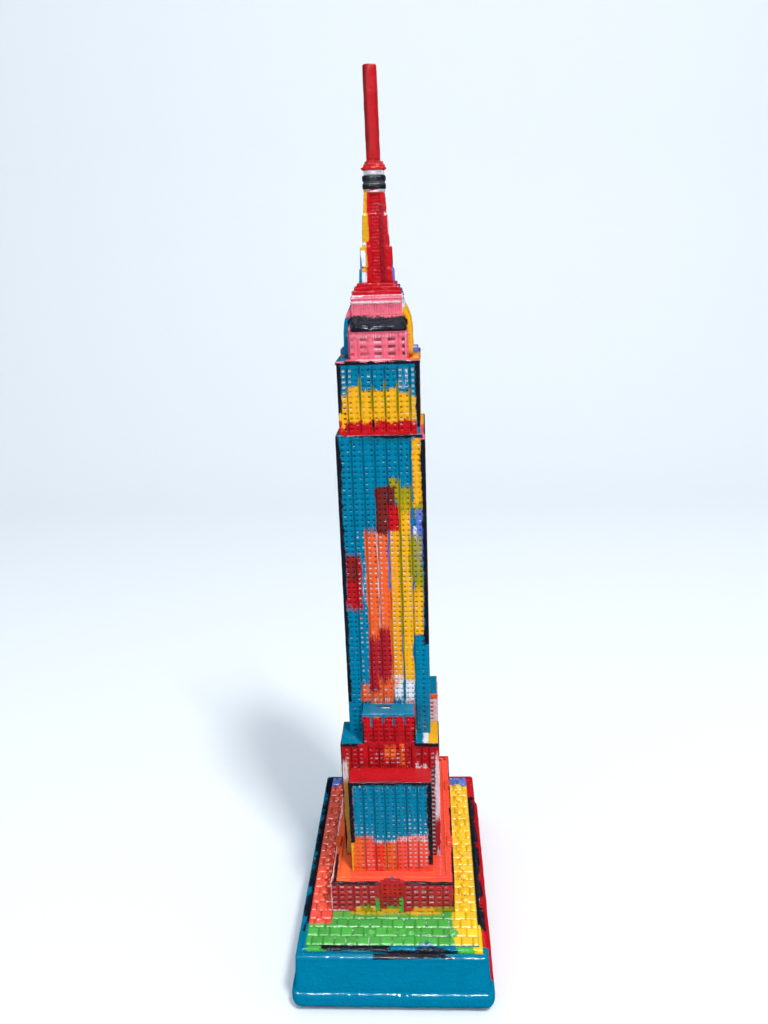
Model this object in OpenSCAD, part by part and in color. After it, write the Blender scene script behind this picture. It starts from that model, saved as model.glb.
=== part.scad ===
// Miniature stepped skyscraper on a moulded plinth, a painted desk ornament.
// Cast sections are stacked on a moulded plinth and pulled together by one threaded rod.
// Millimetres, +Z up. The origin is the middle of the footprint, on the table.

/* [Plinth] */
// Width of the plinth across its upper lip
plinth_w = 82.8; // [60:0.1:120]
// Depth of the plinth across its upper lip
plinth_d = 131.5; // [100:0.1:180]
// Height of the lip above the table
plinth_h = 27; // [20:0.1:42]
// Radius of the round underside of the plinth's foot
under_r = 4.2; // [2:0.1:5]
// Height of the pavement surface above the table
pavement_top = 29.5; // [22:0.1:46]
// Side of one square paving slab
slab_w = 5; // [3:0.1:8]

/* [Tower] */
// How far the tower's axis stands behind the middle of the plinth
tower_y = 8.6; // [0:0.1:15]
// Width of the five-storey podium
podium_w = 55.5; // [40:0.1:70]
// Depth of the podium
podium_d = 100.1; // [80:0.1:120]
// Height of the podium roof above the table
podium_top = 44.7; // [37:0.1:60]
// Width of the lower tower and of the shaft above it
shaft_w = 36.8; // [25:0.1:50]
// Depth of the shaft
shaft_d = 45.5; // [30:0.1:60]
// Depth of the lower tower
lower_d = 84.9; // [60:0.1:98]
// Height of the lower tower's roof
lower_top = 91.4; // [70:0.1:110]
// Width across the shoulders
shoulder_w = 44.2; // [37:0.1:54]
// Height of the shoulder roofs
shoulder_top = 104.1; // [94:0.1:130]
// Height of the roofs of the projecting bays
bay_top = 119.1; // [106:0.1:150]
// Height of the top of the shaft
shaft_top = 242.4; // [150:0.1:300]
// Height of the top of the upper tier
tier_top = 272.4; // [247:0.1:330]
// Bays across the front of the shaft
front_bays = 7; // [3:1:11]
// Bays along the side of the shaft
side_bays = 9; // [3:1:13]

/* [Mast] */
// Height of the top of the stepped base under the mast
mast_foot = 301.9; // [280:0.1:360]
// Height of the top of the mast
mast_top = 336.6; // [305:0.1:400]
// Height of the tip of the spire
spire_top = 383; // [342:0.1:460]
// Radius of the spire rod
spire_r = 2.8; // [1.8:0.1:4]
// Number of louvre lines on each face of the mast
louvres = 26; // [8:1:40]

/* [Hardware] */
// Radius of the threaded rod that holds the stack together
rod_r = 1.5; // [1:0.1:1.8]
// Radius of a locating dowel
dowel_r = 1; // [0.6:0.1:1.5]
// Length of a locating dowel
dowel_len = 5; // [3:0.1:6]

/* [Hidden] */
$fn = 72;
eps = 0.01;
pad_t = 0.8;
plate_t = 2;
plate_gap = 0.2;
wall_t = 5.2;
top_t = 4;
foot_over = 2.6;
foot_top = 9.6;
foot_r = 1.8;
face_inset = 1.3;
curb_top = 28.3;
border_w = (plinth_w - 74.9) / 2;
border_d = (plinth_d - 121.3) / 2;
apron_d = plinth_d / 2 - border_d + tower_y - podium_d / 2;
bore_r = rod_r + 0.2;
bay_w = 23.6;
bay_reach = 8.85;
shoulder_near = 12.3;
shoulder_far = 31.6;
tier_w = 33.4;
tier_d = 41.6;
crown_w = 22.9;
crown_d = 30.2;
crown_body_w = 28.2;
crown_body_d = 22.2;
crown_top = 283.5;
deck_top = 289.6;
cap_top = 297.4;
cap_w = 20.7;
cap_d = 25.3;
ring_foot = mast_top + 1.2;
ring_h = 2.3;
ring_pitch = 2.9;
collar_foot = mast_top + 8.2;
spire_foot = mast_top + 11.8;
core_half = 3.3;
recess_half = 1.4;
boss_x = 32.6;
boss_y = 57;
boss_r = 4.5;
screw_r = 1.45;
screw_len = 10;
ballast_t = 8;
cavity_top = plinth_h - top_t;
ballast_z = cavity_top - ballast_t;
washer_t = 0.8;
nut_t = 2.4;
teal = [0.0, 0.47, 0.62];
red = [0.72, 0.06, 0.09];
dark_red = [0.55, 0.08, 0.12];
coral = [0.95, 0.33, 0.22];
orange = [0.98, 0.36, 0.1];
yellow = [0.96, 0.72, 0.1];
green = [0.3, 0.68, 0.3];
pink = [0.9, 0.44, 0.54];
ink = [0.08, 0.1, 0.14];
white = [0.9, 0.9, 0.93];
steel = [0.62, 0.63, 0.65];

// A box centred on the z axis between two heights.
module slab(w, d, z0, z1) {
    translate([-w / 2, -d / 2, z0])
        cube([w, d, z1 - z0]);
}

// A slab whose four sides lean in towards the top, like a hipped roof.
module hip(w, d, lean_w, lean_d, z0, z1) {
    h = z1 - z0;
    intersection() {
        translate([0, d / 2 + 1, z0])
            rotate([90, 0, 0])
                linear_extrude(d + 2)
                    polygon([[-w / 2, 0], [w / 2, 0], [w / 2 - lean_w, h], [lean_w - w / 2, h]]);
        translate([-w / 2 - 1, 0, z0])
            rotate([90, 0, 90])
                linear_extrude(w + 2)
                    polygon([[-d / 2, 0], [d / 2, 0], [d / 2 - lean_d, h], [lean_d - d / 2, h]]);
    }
}

// A round bar run along the four sides of a w by d rectangle at height z.
module bead(w, d, z, r) {
    for (s = [-1, 1]) {
        translate([s * w / 2, d / 2, z])
            rotate([90, 0, 0])
                cylinder(h = d, r = r);
        translate([-w / 2, s * d / 2, z])
            rotate([0, 90, 0])
                cylinder(h = w, r = r);
        for (t = [-1, 1])
            translate([s * w / 2, t * d / 2, z])
                sphere(r = r);
    }
}

// A board with all its edges rounded.
module board(w, d, z0, z1, r) {
    slab(w - 2 * r, d - 2 * r, z0, z1);
    slab(w, d - 2 * r, z0 + r, z1 - r);
    slab(w - 2 * r, d, z0 + r, z1 - r);
    for (s = [-1, 1])
        for (t = [-1, 1])
            translate([s * (w / 2 - r), t * (d / 2 - r), z0 + r])
                cylinder(h = z1 - z0 - 2 * r, r = r);
    for (z = [z0 + r, z1 - r])
        bead(w - 2 * r, d - 2 * r, z, r);
}

// Everything above the pavement stands round the tower's axis.
module on_tower() {
    translate([0, tower_y, 0])
        children();
}

// The clearance hole for the threaded rod.
module rod_bore(z0, z1) {
    translate([0, 0, z0 - 1])
        cylinder(h = z1 - z0 + 2, r = bore_r);
}

// A pair of dowel holes that opens at height z, reaching half a dowel each way.
module dowel_pair(spread, z, turned = 0) {
    for (s = [-1, 1])
        rotate([0, 0, turned])
            translate([s * spread, 0, z - dowel_len / 2])
                cylinder(h = dowel_len, r = dowel_r, $fn = 36);
}

// One row of upright slots across a face of width w that looks along -y.
module slot_row(w, n, z0, z1, slot_w, depth) {
    pitch = w / n;
    for (i = [0 : n - 1])
        translate([(i + 0.5) * pitch - w / 2 - slot_w / 2, -1, z0])
            cube([slot_w, 1 + depth, z1 - z0]);
}

// Two window slots in each bay, with a joint cut between neighbouring bays.
module bay_slots(w, bays, z0, z1, depth) {
    pitch = w / bays;
    for (i = [0 : bays - 1])
        for (s = [-1, 1])
            translate([(i + 0.5) * pitch - w / 2 + s * pitch * 0.22 - pitch * 0.12, -1, z0])
                cube([pitch * 0.24, 1 + depth, z1 - z0]);
    for (i = [1 : bays - 1])
        translate([i * pitch - w / 2 - pitch * 0.06, -1, z0 - 0.4])
            cube([pitch * 0.12, 1 + depth * 0.7, z1 - z0 + 0.8]);
}

// Cuts the bays of all four sides of a w by d block.
module four_sides(w, d, z0, z1, bays_w, bays_d, depth) {
    for (a = [0, 180])
        rotate([0, 0, a])
            translate([0, -d / 2, 0])
                bay_slots(w - 2.4, bays_w, z0, z1, depth);
    for (a = [90, 270])
        rotate([0, 0, a])
            translate([0, -w / 2, 0])
                bay_slots(d - 2.4, bays_d, z0, z1, depth);
}

// Felt pad under everything; it rests on the table.
module base_pad() {
    color(ink)
        slab(plinth_w - 4.4, plinth_d - 4.4, 0, pad_t);
}

// Closing plate let into the underside of the plinth.
module base_plate() {
    color(steel)
        difference() {
            slab(plinth_w - 7.2, plinth_d - 7.7, pad_t, pad_t + plate_t);
            for (x = [-1, 1])
                for (y = [-1, 1])
                    translate([x * boss_x, y * boss_y, 0]) {
                        cylinder(h = 5, r = screw_r + 0.2, $fn = 36);
                        translate([0, 0, pad_t - eps])
                            cylinder(h = 1.5, r1 = 2.9, r2 = 1.4, $fn = 36);
                    }
        }
}

// Four identical countersunk screws that hold the closing plate.
module plate_screws() {
    color(steel)
        for (x = [-1, 1])
            for (y = [-1, 1])
                translate([x * boss_x, y * boss_y, pad_t])
                    difference() {
                        union() {
                            cylinder(h = screw_len, r = screw_r, $fn = 36);
                            cylinder(h = 1.4, r1 = 2.8, r2 = screw_r, $fn = 36);
                        }
                        translate([-0.3, -2, -1])
                            cube([0.6, 4, 1.5]);
                        translate([-2, -0.3, -1])
                            cube([4, 0.6, 1.5]);
                    }
}

// Moulded plinth: foot rounded below, leaning face, rounded lip, shelf and curb.
module plinth() {
    foot_w = plinth_w + 2 * foot_over;
    foot_d = plinth_d + 2 * foot_over;
    core_w = foot_w - 2 * under_r;
    core_d = foot_d - 2 * under_r;
    lip_r = 1.2;
    lean = foot_over - face_inset + 0.05;
    color(teal)
        difference() {
            union() {
                slab(core_w, core_d, pad_t, pad_t + under_r);
                bead(core_w, core_d, pad_t + under_r, under_r);
                board(foot_w, foot_d, pad_t + under_r - foot_r, foot_top, foot_r);
                hip(foot_w - 2 * face_inset, foot_d - 2 * face_inset, lean, lean, foot_top - 1, plinth_h - lip_r);
                slab(plinth_w - 2 * lip_r, plinth_d - 2 * lip_r, plinth_h - 3 * lip_r, plinth_h);
                bead(plinth_w - 2 * lip_r, plinth_d - 2 * lip_r, plinth_h - lip_r, lip_r);
                slab(plinth_w - border_w, plinth_d - border_d, plinth_h - 1, curb_top - 0.5);
                slab(plinth_w - 1.3 * border_w, plinth_d - 1.3 * border_d, plinth_h - 1, curb_top);
            }
            difference() {
                slab(plinth_w - 2 * wall_t, plinth_d - 2 * wall_t, 0, cavity_top);
                for (x = [-1, 1])
                    for (y = [-1, 1])
                        translate([x * boss_x, y * boss_y, pad_t + plate_t])
                            cylinder(h = 30, r = boss_r);
            }
            slab(plinth_w - 7.2 + 2 * plate_gap, plinth_d - 7.7 + 2 * plate_gap, 0, pad_t + plate_t);
            for (x = [-1, 1])
                for (y = [-1, 1])
                    translate([x * boss_x, y * boss_y, 0])
                        cylinder(h = pad_t + screw_len + 1, r = screw_r, $fn = 36);
            on_tower() {
                rod_bore(cavity_top, curb_top);
                dowel_pair(20, pavement_top - 1.2);
            }
        }
}

// Steel block inside the plinth that keeps the tall tower from tipping.
module ballast() {
    color(steel)
        difference() {
            slab(54, 96, ballast_z, cavity_top);
            on_tower()
                rod_bore(ballast_z, cavity_top);
        }
}

// Washer under the ballast.
module rod_washer() {
    color(steel)
        on_tower()
            translate([0, 0, ballast_z - washer_t])
                difference() {
                    cylinder(h = washer_t, r = 4.5);
                    translate([0, 0, -1])
                        cylinder(h = 5, r = bore_r);
                }
}

// Hexagon nut that pulls the rod tight.
module rod_nut() {
    color(steel)
        on_tower()
            translate([0, 0, ballast_z - washer_t - nut_t])
                difference() {
                    cylinder(h = nut_t, r = 3.2, $fn = 6);
                    translate([0, 0, -1])
                        cylinder(h = 5, r = rod_r);
                }
}

// Threaded rod from the nut up into the foot of the spire.
module tie_rod() {
    z0 = ballast_z - washer_t - nut_t - 1.6;
    color(steel)
        on_tower()
            translate([0, 0, z0])
                cylinder(h = spire_foot + 6.6 - z0, r = rod_r);
}

// Paving sheet on the plinth, with running-bond slabs on the front apron.
module pavement() {
    w = plinth_w - 2 * border_w;
    d = plinth_d - 2 * border_d;
    rows = floor((apron_d - 1) / slab_w);
    row_d = slab_w;
    front = -d / 2;
    joint = 0.35;
    cols = round(w / slab_w);
    color(green)
        difference() {
            slab(w, d, curb_top, pavement_top);
            for (r = [0 : rows - 1]) {
                translate([-w / 2 - 1, front + (r + 1) * row_d, pavement_top - 0.3])
                    cube([w + 2, joint, 1]);
                for (c = [1 : cols - 1])
                    translate([-w / 2 + (c - (r % 2) / 2) * w / cols, front + r * row_d, pavement_top - 0.3])
                        cube([joint, row_d + joint, 1]);
            }
            on_tower() {
                rod_bore(curb_top, pavement_top);
                dowel_pair(20, pavement_top - 1.2);
            }
        }
}

// Round street trees and parked-car lumps on the pavement, as one group.
module street_trees() {
    lump_r = 1.7;
    side_x = (podium_w + plinth_w - 2 * border_w) / 4;
    color(yellow) {
        for (i = [0 : 17])
            for (s = [-1, 1])
                translate([s * (side_x + 0.3 * sin(i * 140)), -40 + i * 5.4 + 0.5 * sin(i * 75), pavement_top])
                    lump(lump_r * (1 + 0.12 * sin(i * 200)));
        for (x = [-9.3, 8.2, 26.5])
            translate([x, -54, pavement_top])
                lump(lump_r * 1.15);
        translate([-33.1, -46.4, pavement_top])
            lump(lump_r);
    }
}

// A low dome standing on z = 0.
module lump(r) {
    intersection() {
        translate([0, 0, -0.35 * r])
            sphere(r = r);
        translate([-2 * r, -2 * r, 0])
            cube([4 * r, 4 * r, 2 * r]);
    }
}

// Five-storey podium with window slots and a low parapet ridge round its roof.
module podium() {
    sill = pavement_top + 3;
    head = podium_top - 1.3;
    ridge_in = 2.9;
    color(dark_red)
        on_tower()
            difference() {
                union() {
                    slab(podium_w, podium_d, pavement_top, podium_top);
                    difference() {
                        slab(podium_w - 2 * ridge_in, podium_d - 2 * ridge_in, podium_top - 1, podium_top + 0.7);
                        slab(podium_w - 2 * ridge_in - 2, podium_d - 2 * ridge_in - 2, podium_top, podium_top + 1);
                    }
                }
                for (a = [0, 180])
                    rotate([0, 0, a])
                        translate([0, -podium_d / 2, 0])
                            for (s = [-1, 1])
                                translate([s * 17, 0, 0])
                                    bay_slots(20.4, 3, sill, head, 0.5);
                for (a = [90, 270])
                    rotate([0, 0, a])
                        translate([0, -podium_w / 2, 0])
                            bay_slots(podium_d - 4, 14, sill, head, 0.5);
                translate([-5.6, -podium_d / 2 - 1, pavement_top - 1])
                    cube([11.2, 2.2, podium_top - pavement_top + 3]);
                rod_bore(pavement_top, podium_top);
                dowel_pair(20, pavement_top - 1.2);
                dowel_pair(13, podium_top);
            }
}

// Tall entrance bay let into the front wall, with three window strips and a finial.
module entrance_portal() {
    front = -podium_d / 2 - 0.7;
    color(dark_red)
        on_tower()
            difference() {
                union() {
                    translate([-5.6, front, pavement_top])
                        cube([11.2, 1.9, podium_top + 0.9 - pavement_top]);
                    translate([-3.8, front + 0.2, podium_top])
                        cube([7.6, 1.7, 1.9]);
                    translate([0, front + 1, podium_top + 1])
                        cylinder(h = 2.2, r = 0.5, $fn = 24);
                }
                translate([0, front, 0])
                    slot_row(8, 3, pavement_top + 5.2, podium_top - 1.5, 1.4, 0.6);
                translate([-1.6, front - 1, pavement_top - 1])
                    cube([3.2, 1.7, 4.9]);
            }
}

// Small attic pavilions over the side entrances, two on each long side.
module side_pavilions() {
    color(coral)
        on_tower()
            for (s = [-1, 1])
                for (y = [-22, 22])
                    translate([s * (podium_w / 2 - 1.4), y, podium_top])
                        difference() {
                            translate([-1.4, -3.4, 0])
                                cube([2.8, 6.8, 1.6]);
                            for (t = [-1, 1])
                                translate([-2, t * 3.4 - 0.7, 0.9])
                                    cube([4, 1.4, 2]);
                        }
}

// Long seven-bay block on the podium roof; the shoulders straddle it.
module lower_tower() {
    color(orange)
        on_tower()
            difference() {
                slab(shaft_w, lower_d, podium_top, lower_top);
                for (a = [0, 180])
                    rotate([0, 0, a])
                        translate([0, -lower_d / 2, 0])
                            bay_slots(shaft_w - 2.4, front_bays, podium_top + 2, lower_top - 1.4, 0.5);
                for (a = [90, 270])
                    rotate([0, 0, a])
                        translate([0, -shaft_w / 2, 0])
                            bay_slots(2 * shoulder_near - 2, 5, podium_top + 2, lower_top + 1, 0.5);
                rod_bore(podium_top, lower_top);
                dowel_pair(13, podium_top);
                dowel_pair(13, lower_top);
            }
}

// The two wide shoulder blocks between two heights.
module shoulders(z0, z1) {
    for (s = [-1, 1])
        translate([0, s * (shoulder_near + shoulder_far) / 2, 0])
            slab(shoulder_w, shoulder_far - shoulder_near, z0, z1);
}

// Window slots in the outer faces of the shoulders and in the walls between them.
module shoulder_slots(z0, z1) {
    depth = shoulder_far - shoulder_near;
    for (a = [90, 270])
        rotate([0, 0, a]) {
            for (s = [-1, 1])
                translate([s * (shoulder_near + shoulder_far) / 2, -shoulder_w / 2, 0])
                    bay_slots(depth - 2, 4, z0, z1, 0.5);
            translate([0, -shaft_w / 2, 0])
                bay_slots(2 * shoulder_near - 2, 5, z0, z1, 0.5);
        }
}

// Shoulders: a saddle on the lower tower's roof, with four legs down its sides to the podium.
module shoulder_tier() {
    color(red)
        on_tower()
            difference() {
                union() {
                    shoulders(podium_top, shoulder_top);
                    slab(shaft_w, 2 * shoulder_near + 1, lower_top, shoulder_top);
                }
                slab(shaft_w, lower_d, podium_top - 1, lower_top);
                for (a = [0, 180])
                    rotate([0, 0, a])
                        translate([0, -shoulder_far, 0])
                            slot_row(shoulder_w - 1.6, 11, lower_top + 1, shoulder_top - 1.4, 1.4, 0.5);
                shoulder_slots(podium_top + 2, shoulder_top - 1.4);
                rod_bore(lower_top, shoulder_top);
                dowel_pair(13, lower_top);
                dowel_pair(13, shoulder_top);
                dowel_pair(27, shoulder_top, 90);
            }
}

// Projecting middle bays at the front and back of the shaft's foot, as one group.
module setback_bays() {
    color(red)
        on_tower()
            for (a = [0, 180])
                rotate([0, 0, a])
                    difference() {
                        translate([-bay_w / 2, -shaft_d / 2 - bay_reach, shoulder_top])
                            cube([bay_w, bay_reach, bay_top - shoulder_top]);
                        translate([0, -shaft_d / 2 - bay_reach, 0])
                            bay_slots(bay_w - 1, 5, shoulder_top - 1, bay_top - 1.4, 0.5);
                        rotate([0, 0, 90])
                            dowel_pair(27, shoulder_top);
                    }
}

// Long plain shaft with seven bays to the front and nine to the side.
module shaft() {
    color(teal)
        on_tower()
            difference() {
                slab(shaft_w, shaft_d, shoulder_top, shaft_top);
                four_sides(shaft_w, shaft_d, shoulder_top + 1, shaft_top - 1.6, front_bays, side_bays, 0.5);
                rod_bore(shoulder_top, shaft_top);
                dowel_pair(13, shoulder_top);
                dowel_pair(10, shaft_top);
            }
}

// Set-back tier above the shaft, closed by a thin projecting ledge.
module upper_tier() {
    color(yellow)
        on_tower()
            difference() {
                union() {
                    slab(tier_w, tier_d, shaft_top, tier_top);
                    slab(tier_w + 0.8, tier_d + 0.8, tier_top - 1.4, tier_top);
                }
                four_sides(tier_w, tier_d, shaft_top + 1, tier_top - 2.2, 6, 8, 0.5);
                rod_bore(shaft_top, tier_top);
                dowel_pair(10, shaft_top);
                dowel_pair(8, tier_top);
            }
}

// First crown block: front and back bays, wider body, low side wings.
module crown_body() {
    wing_top = 275.5;
    color(pink)
        on_tower()
            difference() {
                union() {
                    slab(crown_w, crown_d, tier_top, crown_top);
                    slab(crown_body_w - 3, crown_body_d, tier_top, crown_top);
                    slab(32.4, 11.2, tier_top, wing_top);
                }
                for (a = [0, 180])
                    rotate([0, 0, a])
                        translate([0, -crown_d / 2, 0])
                            crown_windows();
                rod_bore(tier_top, crown_top);
                dowel_pair(8, tier_top);
                dowel_pair(8, crown_top, 90);
            }
}

// Five columns of three windows on the crown's front; the outer two are narrow.
module crown_windows() {
    pitch = 5.6;
    for (c = [-2 : 2])
        for (r = [0 : 2])
            translate([c * pitch - (abs(c) == 2 ? 0.8 : 1.5), -1, tier_top + 0.7 + r * 2.9])
                cube([abs(c) == 2 ? 1.6 : 3, 1.5, 1.9]);
}

// Four corner fins that lean in over the crown, as one group.
module crown_fins() {
    reach = crown_body_w / 2;
    inner = crown_body_w / 2 - 1.5;
    fin_d = (crown_body_d - 11.2) / 2;
    color(yellow)
        on_tower()
            for (s = [0, 1])
                mirror([s, 0, 0])
                    for (t = [0, 1])
                        mirror([0, t, 0])
                            translate([0, -crown_body_d / 2 + fin_d, 0])
                                rotate([90, 0, 0])
                                    linear_extrude(fin_d)
                                        polygon([[inner, tier_top], [reach, tier_top],
                                            [reach, crown_top - 1], [reach - 0.5, deck_top - 3],
                                            [reach - 1.1, deck_top], [reach - 3.2, deck_top + 4.5],
                                            [cap_w / 2, deck_top + 4.5], [cap_w / 2, deck_top],
                                            [inner, deck_top]]);
}

// Sloping hood over the observation deck, notched for the corner fins.
module deck_hood() {
    color(ink)
        on_tower()
            difference() {
                union() {
                    hip(crown_w + 0.8, crown_d + 1.6, 1.8, 3.6, crown_top, deck_top);
                    slab(crown_body_w - 3, crown_body_d, crown_top, deck_top);
                }
                rod_bore(crown_top, deck_top);
                dowel_pair(8, crown_top, 90);
                dowel_pair(7, deck_top);
            }
}

// Ribbed cap of the crown with two cornice steps.
module crown_cap() {
    rib_top = deck_top + 4.7;
    color(pink)
        on_tower()
            difference() {
                union() {
                    slab(cap_w, cap_d, deck_top, cap_top - 0.9);
                    slab(cap_w - 1, cap_d - 1, deck_top, cap_top);
                }
                for (a = [0, 180])
                    rotate([0, 0, a])
                        translate([0, -cap_d / 2, 0])
                            slot_row(cap_w - 1.2, 15, deck_top + 0.8, rib_top, 0.6, 0.35);
                for (a = [0, 180])
                    rotate([0, 0, a])
                        translate([-cap_w, -cap_d / 2 - 1, rib_top + 0.7])
                            cube([2 * cap_w, 1.25, 0.5]);
                rod_bore(deck_top, cap_top);
                dowel_pair(7, deck_top);
            }
}

// Three shallow steps that carry the mast.
module mast_base() {
    step_half = [10.05, 9.15, 8.05];
    step_top = [mast_foot - 2.9, mast_foot - 1.3, mast_foot];
    color(red)
        on_tower()
            difference() {
                for (i = [0 : 2])
                    slab(2 * step_half[i], 2 * step_half[i] + 1, i == 0 ? cap_top : step_top[i - 1], step_top[i]);
                rod_bore(cap_top, mast_foot);
            }
}

// Square core of the mast, scored with louvre lines.
module mast_core() {
    pitch = (mast_top - mast_foot) / (louvres + 1);
    color(red)
        on_tower()
            difference() {
                slab(2 * core_half, 2 * core_half, mast_foot, mast_top);
                for (i = [1 : louvres])
                    for (a = [0 : 90 : 270])
                        rotate([0, 0, a])
                            translate([-recess_half, -core_half - 1, mast_foot + i * pitch])
                                cube([2 * recess_half, 1.2, 0.4]);
                rod_bore(mast_foot, mast_top);
            }
}

// Four stepped corner wings round the mast, as one group.
module mast_wings() {
    half = [7, 6.4, 5.2, 4.4];
    top = [mast_foot + 5.5, mast_foot + 14, mast_foot + 26.4, mast_top];
    color(red)
        on_tower()
            for (a = [0 : 90 : 270])
                rotate([0, 0, a])
                    for (i = [0 : 3])
                        translate([0, 0, i == 0 ? mast_foot : top[i - 1]])
                            linear_extrude(top[i] - (i == 0 ? mast_foot : top[i - 1]))
                                wing_plan(half[i], i == 3 ? 1.4 : 2);
}

// One wing in plan, outside the square core; its outer corner is at (w, w).
module wing_plan(w, face) {
    polygon([[core_half, recess_half], [w, w - face], [w, w], [w - face, w],
        [recess_half, core_half], [core_half, core_half]]);
}

// A turned disc on the tower's axis with the rod's hole through it.
module disc(r, z0, z1, hole = bore_r) {
    on_tower()
        difference() {
            translate([0, 0, z0])
                cylinder(h = z1 - z0, r = r);
            translate([0, 0, z0 - 1])
                cylinder(h = z1 - z0 + 2, r = hole);
        }
}

// Round plate that caps the mast.
module mast_plate() {
    color(white)
        disc(4.4, mast_top, ring_foot);
}

// Two identical black rings.
module ring_pair() {
    color(ink)
        for (z = [ring_foot, ring_foot + ring_pitch])
            on_tower()
                difference() {
                    union() {
                        translate([0, 0, z])
                            cylinder(h = ring_h, r = 4.5);
                        translate([0, 0, z + 0.3])
                            cylinder(h = ring_h - 0.6, r = 4.8);
                    }
                    rod_bore(z, z + ring_h);
                }
}

// Thin spacer between the black rings.
module ring_spacer() {
    color(steel)
        disc(4.4, ring_foot + ring_h, ring_foot + ring_pitch);
}

// White disc over the upper ring.
module ring_cover() {
    color(white)
        disc(4.1, ring_foot + ring_pitch + ring_h, collar_foot);
}

// Collar at the foot of the spire, screwed onto the rod.
module collar() {
    color(red)
        on_tower()
            difference() {
                translate([0, 0, collar_foot])
                    cylinder(h = spire_foot - collar_foot, r1 = 4.6, r2 = 3.3);
                translate([0, 0, collar_foot - 2])
                    cylinder(h = 10, r = rod_r);
            }
}

// Spire rod with a blind hole for the end of the threaded rod.
module spire() {
    color(red)
        on_tower()
            difference() {
                translate([0, 0, spire_foot])
                    cylinder(h = spire_top - spire_foot, r = spire_r);
                translate([0, 0, spire_foot - 1.4])
                    cylinder(h = 9, r = rod_r);
            }
}

// All the identical locating dowels between the stacked castings.
module dowels() {
    color(steel)
        on_tower() {
            dowel_pair(20, pavement_top - 1.2);
            dowel_pair(13, podium_top);
            dowel_pair(13, lower_top);
            dowel_pair(13, shoulder_top);
            dowel_pair(27, shoulder_top, 90);
            dowel_pair(10, shaft_top);
            dowel_pair(8, tier_top);
            dowel_pair(8, crown_top, 90);
            dowel_pair(7, deck_top);
        }
}

base_pad();
base_plate();
plate_screws();
plinth();
ballast();
rod_washer();
rod_nut();
tie_rod();
pavement();
street_trees();
podium();
entrance_portal();
side_pavilions();
lower_tower();
shoulder_tier();
setback_bays();
shaft();
upper_tier();
crown_body();
crown_fins();
deck_hood();
crown_cap();
mast_base();
mast_core();
mast_wings();
mast_plate();
ring_pair();
ring_spacer();
ring_cover();
collar();
spire();
dowels();
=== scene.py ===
"""Looks of a hand-painted miniature skyscraper: cast relief under gloss acrylic in visible brush strokes.

Lengths in this script are millimetres unless a name says otherwise. The CAD frame places every piece.
"""

import math
from types import SimpleNamespace

import bpy
import numpy as np
from mathutils import Matrix, Vector


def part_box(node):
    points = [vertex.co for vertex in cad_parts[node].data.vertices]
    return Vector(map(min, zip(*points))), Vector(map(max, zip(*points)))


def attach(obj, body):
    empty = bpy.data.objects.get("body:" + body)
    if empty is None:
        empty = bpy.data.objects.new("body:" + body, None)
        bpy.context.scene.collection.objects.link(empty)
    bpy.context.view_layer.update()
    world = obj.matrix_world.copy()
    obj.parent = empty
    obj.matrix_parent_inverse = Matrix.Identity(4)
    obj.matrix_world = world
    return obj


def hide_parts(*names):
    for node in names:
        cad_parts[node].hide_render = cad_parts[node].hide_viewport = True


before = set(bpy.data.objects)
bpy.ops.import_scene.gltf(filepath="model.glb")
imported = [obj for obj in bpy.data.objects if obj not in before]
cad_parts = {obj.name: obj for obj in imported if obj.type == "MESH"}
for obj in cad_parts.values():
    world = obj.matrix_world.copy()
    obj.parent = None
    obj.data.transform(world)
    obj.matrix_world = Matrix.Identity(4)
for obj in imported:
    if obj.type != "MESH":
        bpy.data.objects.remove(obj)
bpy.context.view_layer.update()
MM = 0.001
RAMP = 0.2  # width of the softened edge round a recess
JOINT_FLOOR = 0.16  # half the width of a groove's flat floor
BAY_JOINT = 0.75  # half the width of a groove between bays
COLUMN_JOINT = 0.6  # half the width of a groove between window columns
CORNER_STEPS = 4  # facets of a rounded edge
MOST_COLUMNS = 64  # window columns on one wall, at most
MOST_STOREYS = 128  # rows of windows on one wall, at most
FRONT, RIGHT, BACK, LEFT = range(4)
DATUM = 2.0  # brush strokes give their heights above this level

# Paint colours, linear RGB.
TEAL = (0.0, 0.195, 0.345)
RED = (0.56, 0.008, 0.014)
DARK_RED = (0.40, 0.014, 0.024)
MAROON = (0.17, 0.020, 0.018)
CORAL = (0.93, 0.085, 0.055)
ORANGE = (0.86, 0.12, 0.026)
YELLOW = (0.86, 0.41, 0.012)
BRIGHT_YELLOW = (1.0, 0.60, 0.012)
OLIVE = (0.36, 0.30, 0.004)
GREEN = (0.07, 0.46, 0.065)
PINK = (0.83, 0.15, 0.22)
PALE_PINK = (0.80, 0.60, 0.64)
LILAC = (0.10, 0.17, 0.60)
INK = (0.008, 0.010, 0.018)
PRIMER = (0.78, 0.79, 0.84)
GOLD = (0.50, 0.23, 0.05)
BRICK = (0.95, 0.115, 0.05)
OLD_YELLOW = (0.68, 0.34, 0.012)
DEEP_RED = (0.44, 0.008, 0.013)
SHADED_FACE_RED = (0.30, 0.008, 0.014)
DARK_SPIRE_RED = (0.30, 0.01, 0.012)
SPIRE_RED = (0.50, 0.010, 0.014)
COLLAR_RED = (0.62, 0.012, 0.010)
SCARLET = (0.85, 0.045, 0.02)
CRIMSON = (0.53, 0.016, 0.03)
ROOF_ORANGE = (0.95, 0.15, 0.045)
ROOF_CORAL = (0.95, 0.12, 0.04)
AMBER = (0.88, 0.35, 0.014)
HOLE_SHADE = (0.05, 0.03, 0.01)
LIGHT_GREEN = (0.16, 0.60, 0.10)
LIGHT_TEAL = (0.02, 0.30, 0.42)
BLUE = (0.0, 0.17, 0.36)
DARK_TEAL = (0.01, 0.03, 0.05)
GREY = (0.42, 0.42, 0.46)
DARK_GREY = (0.085, 0.09, 0.10)
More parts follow.
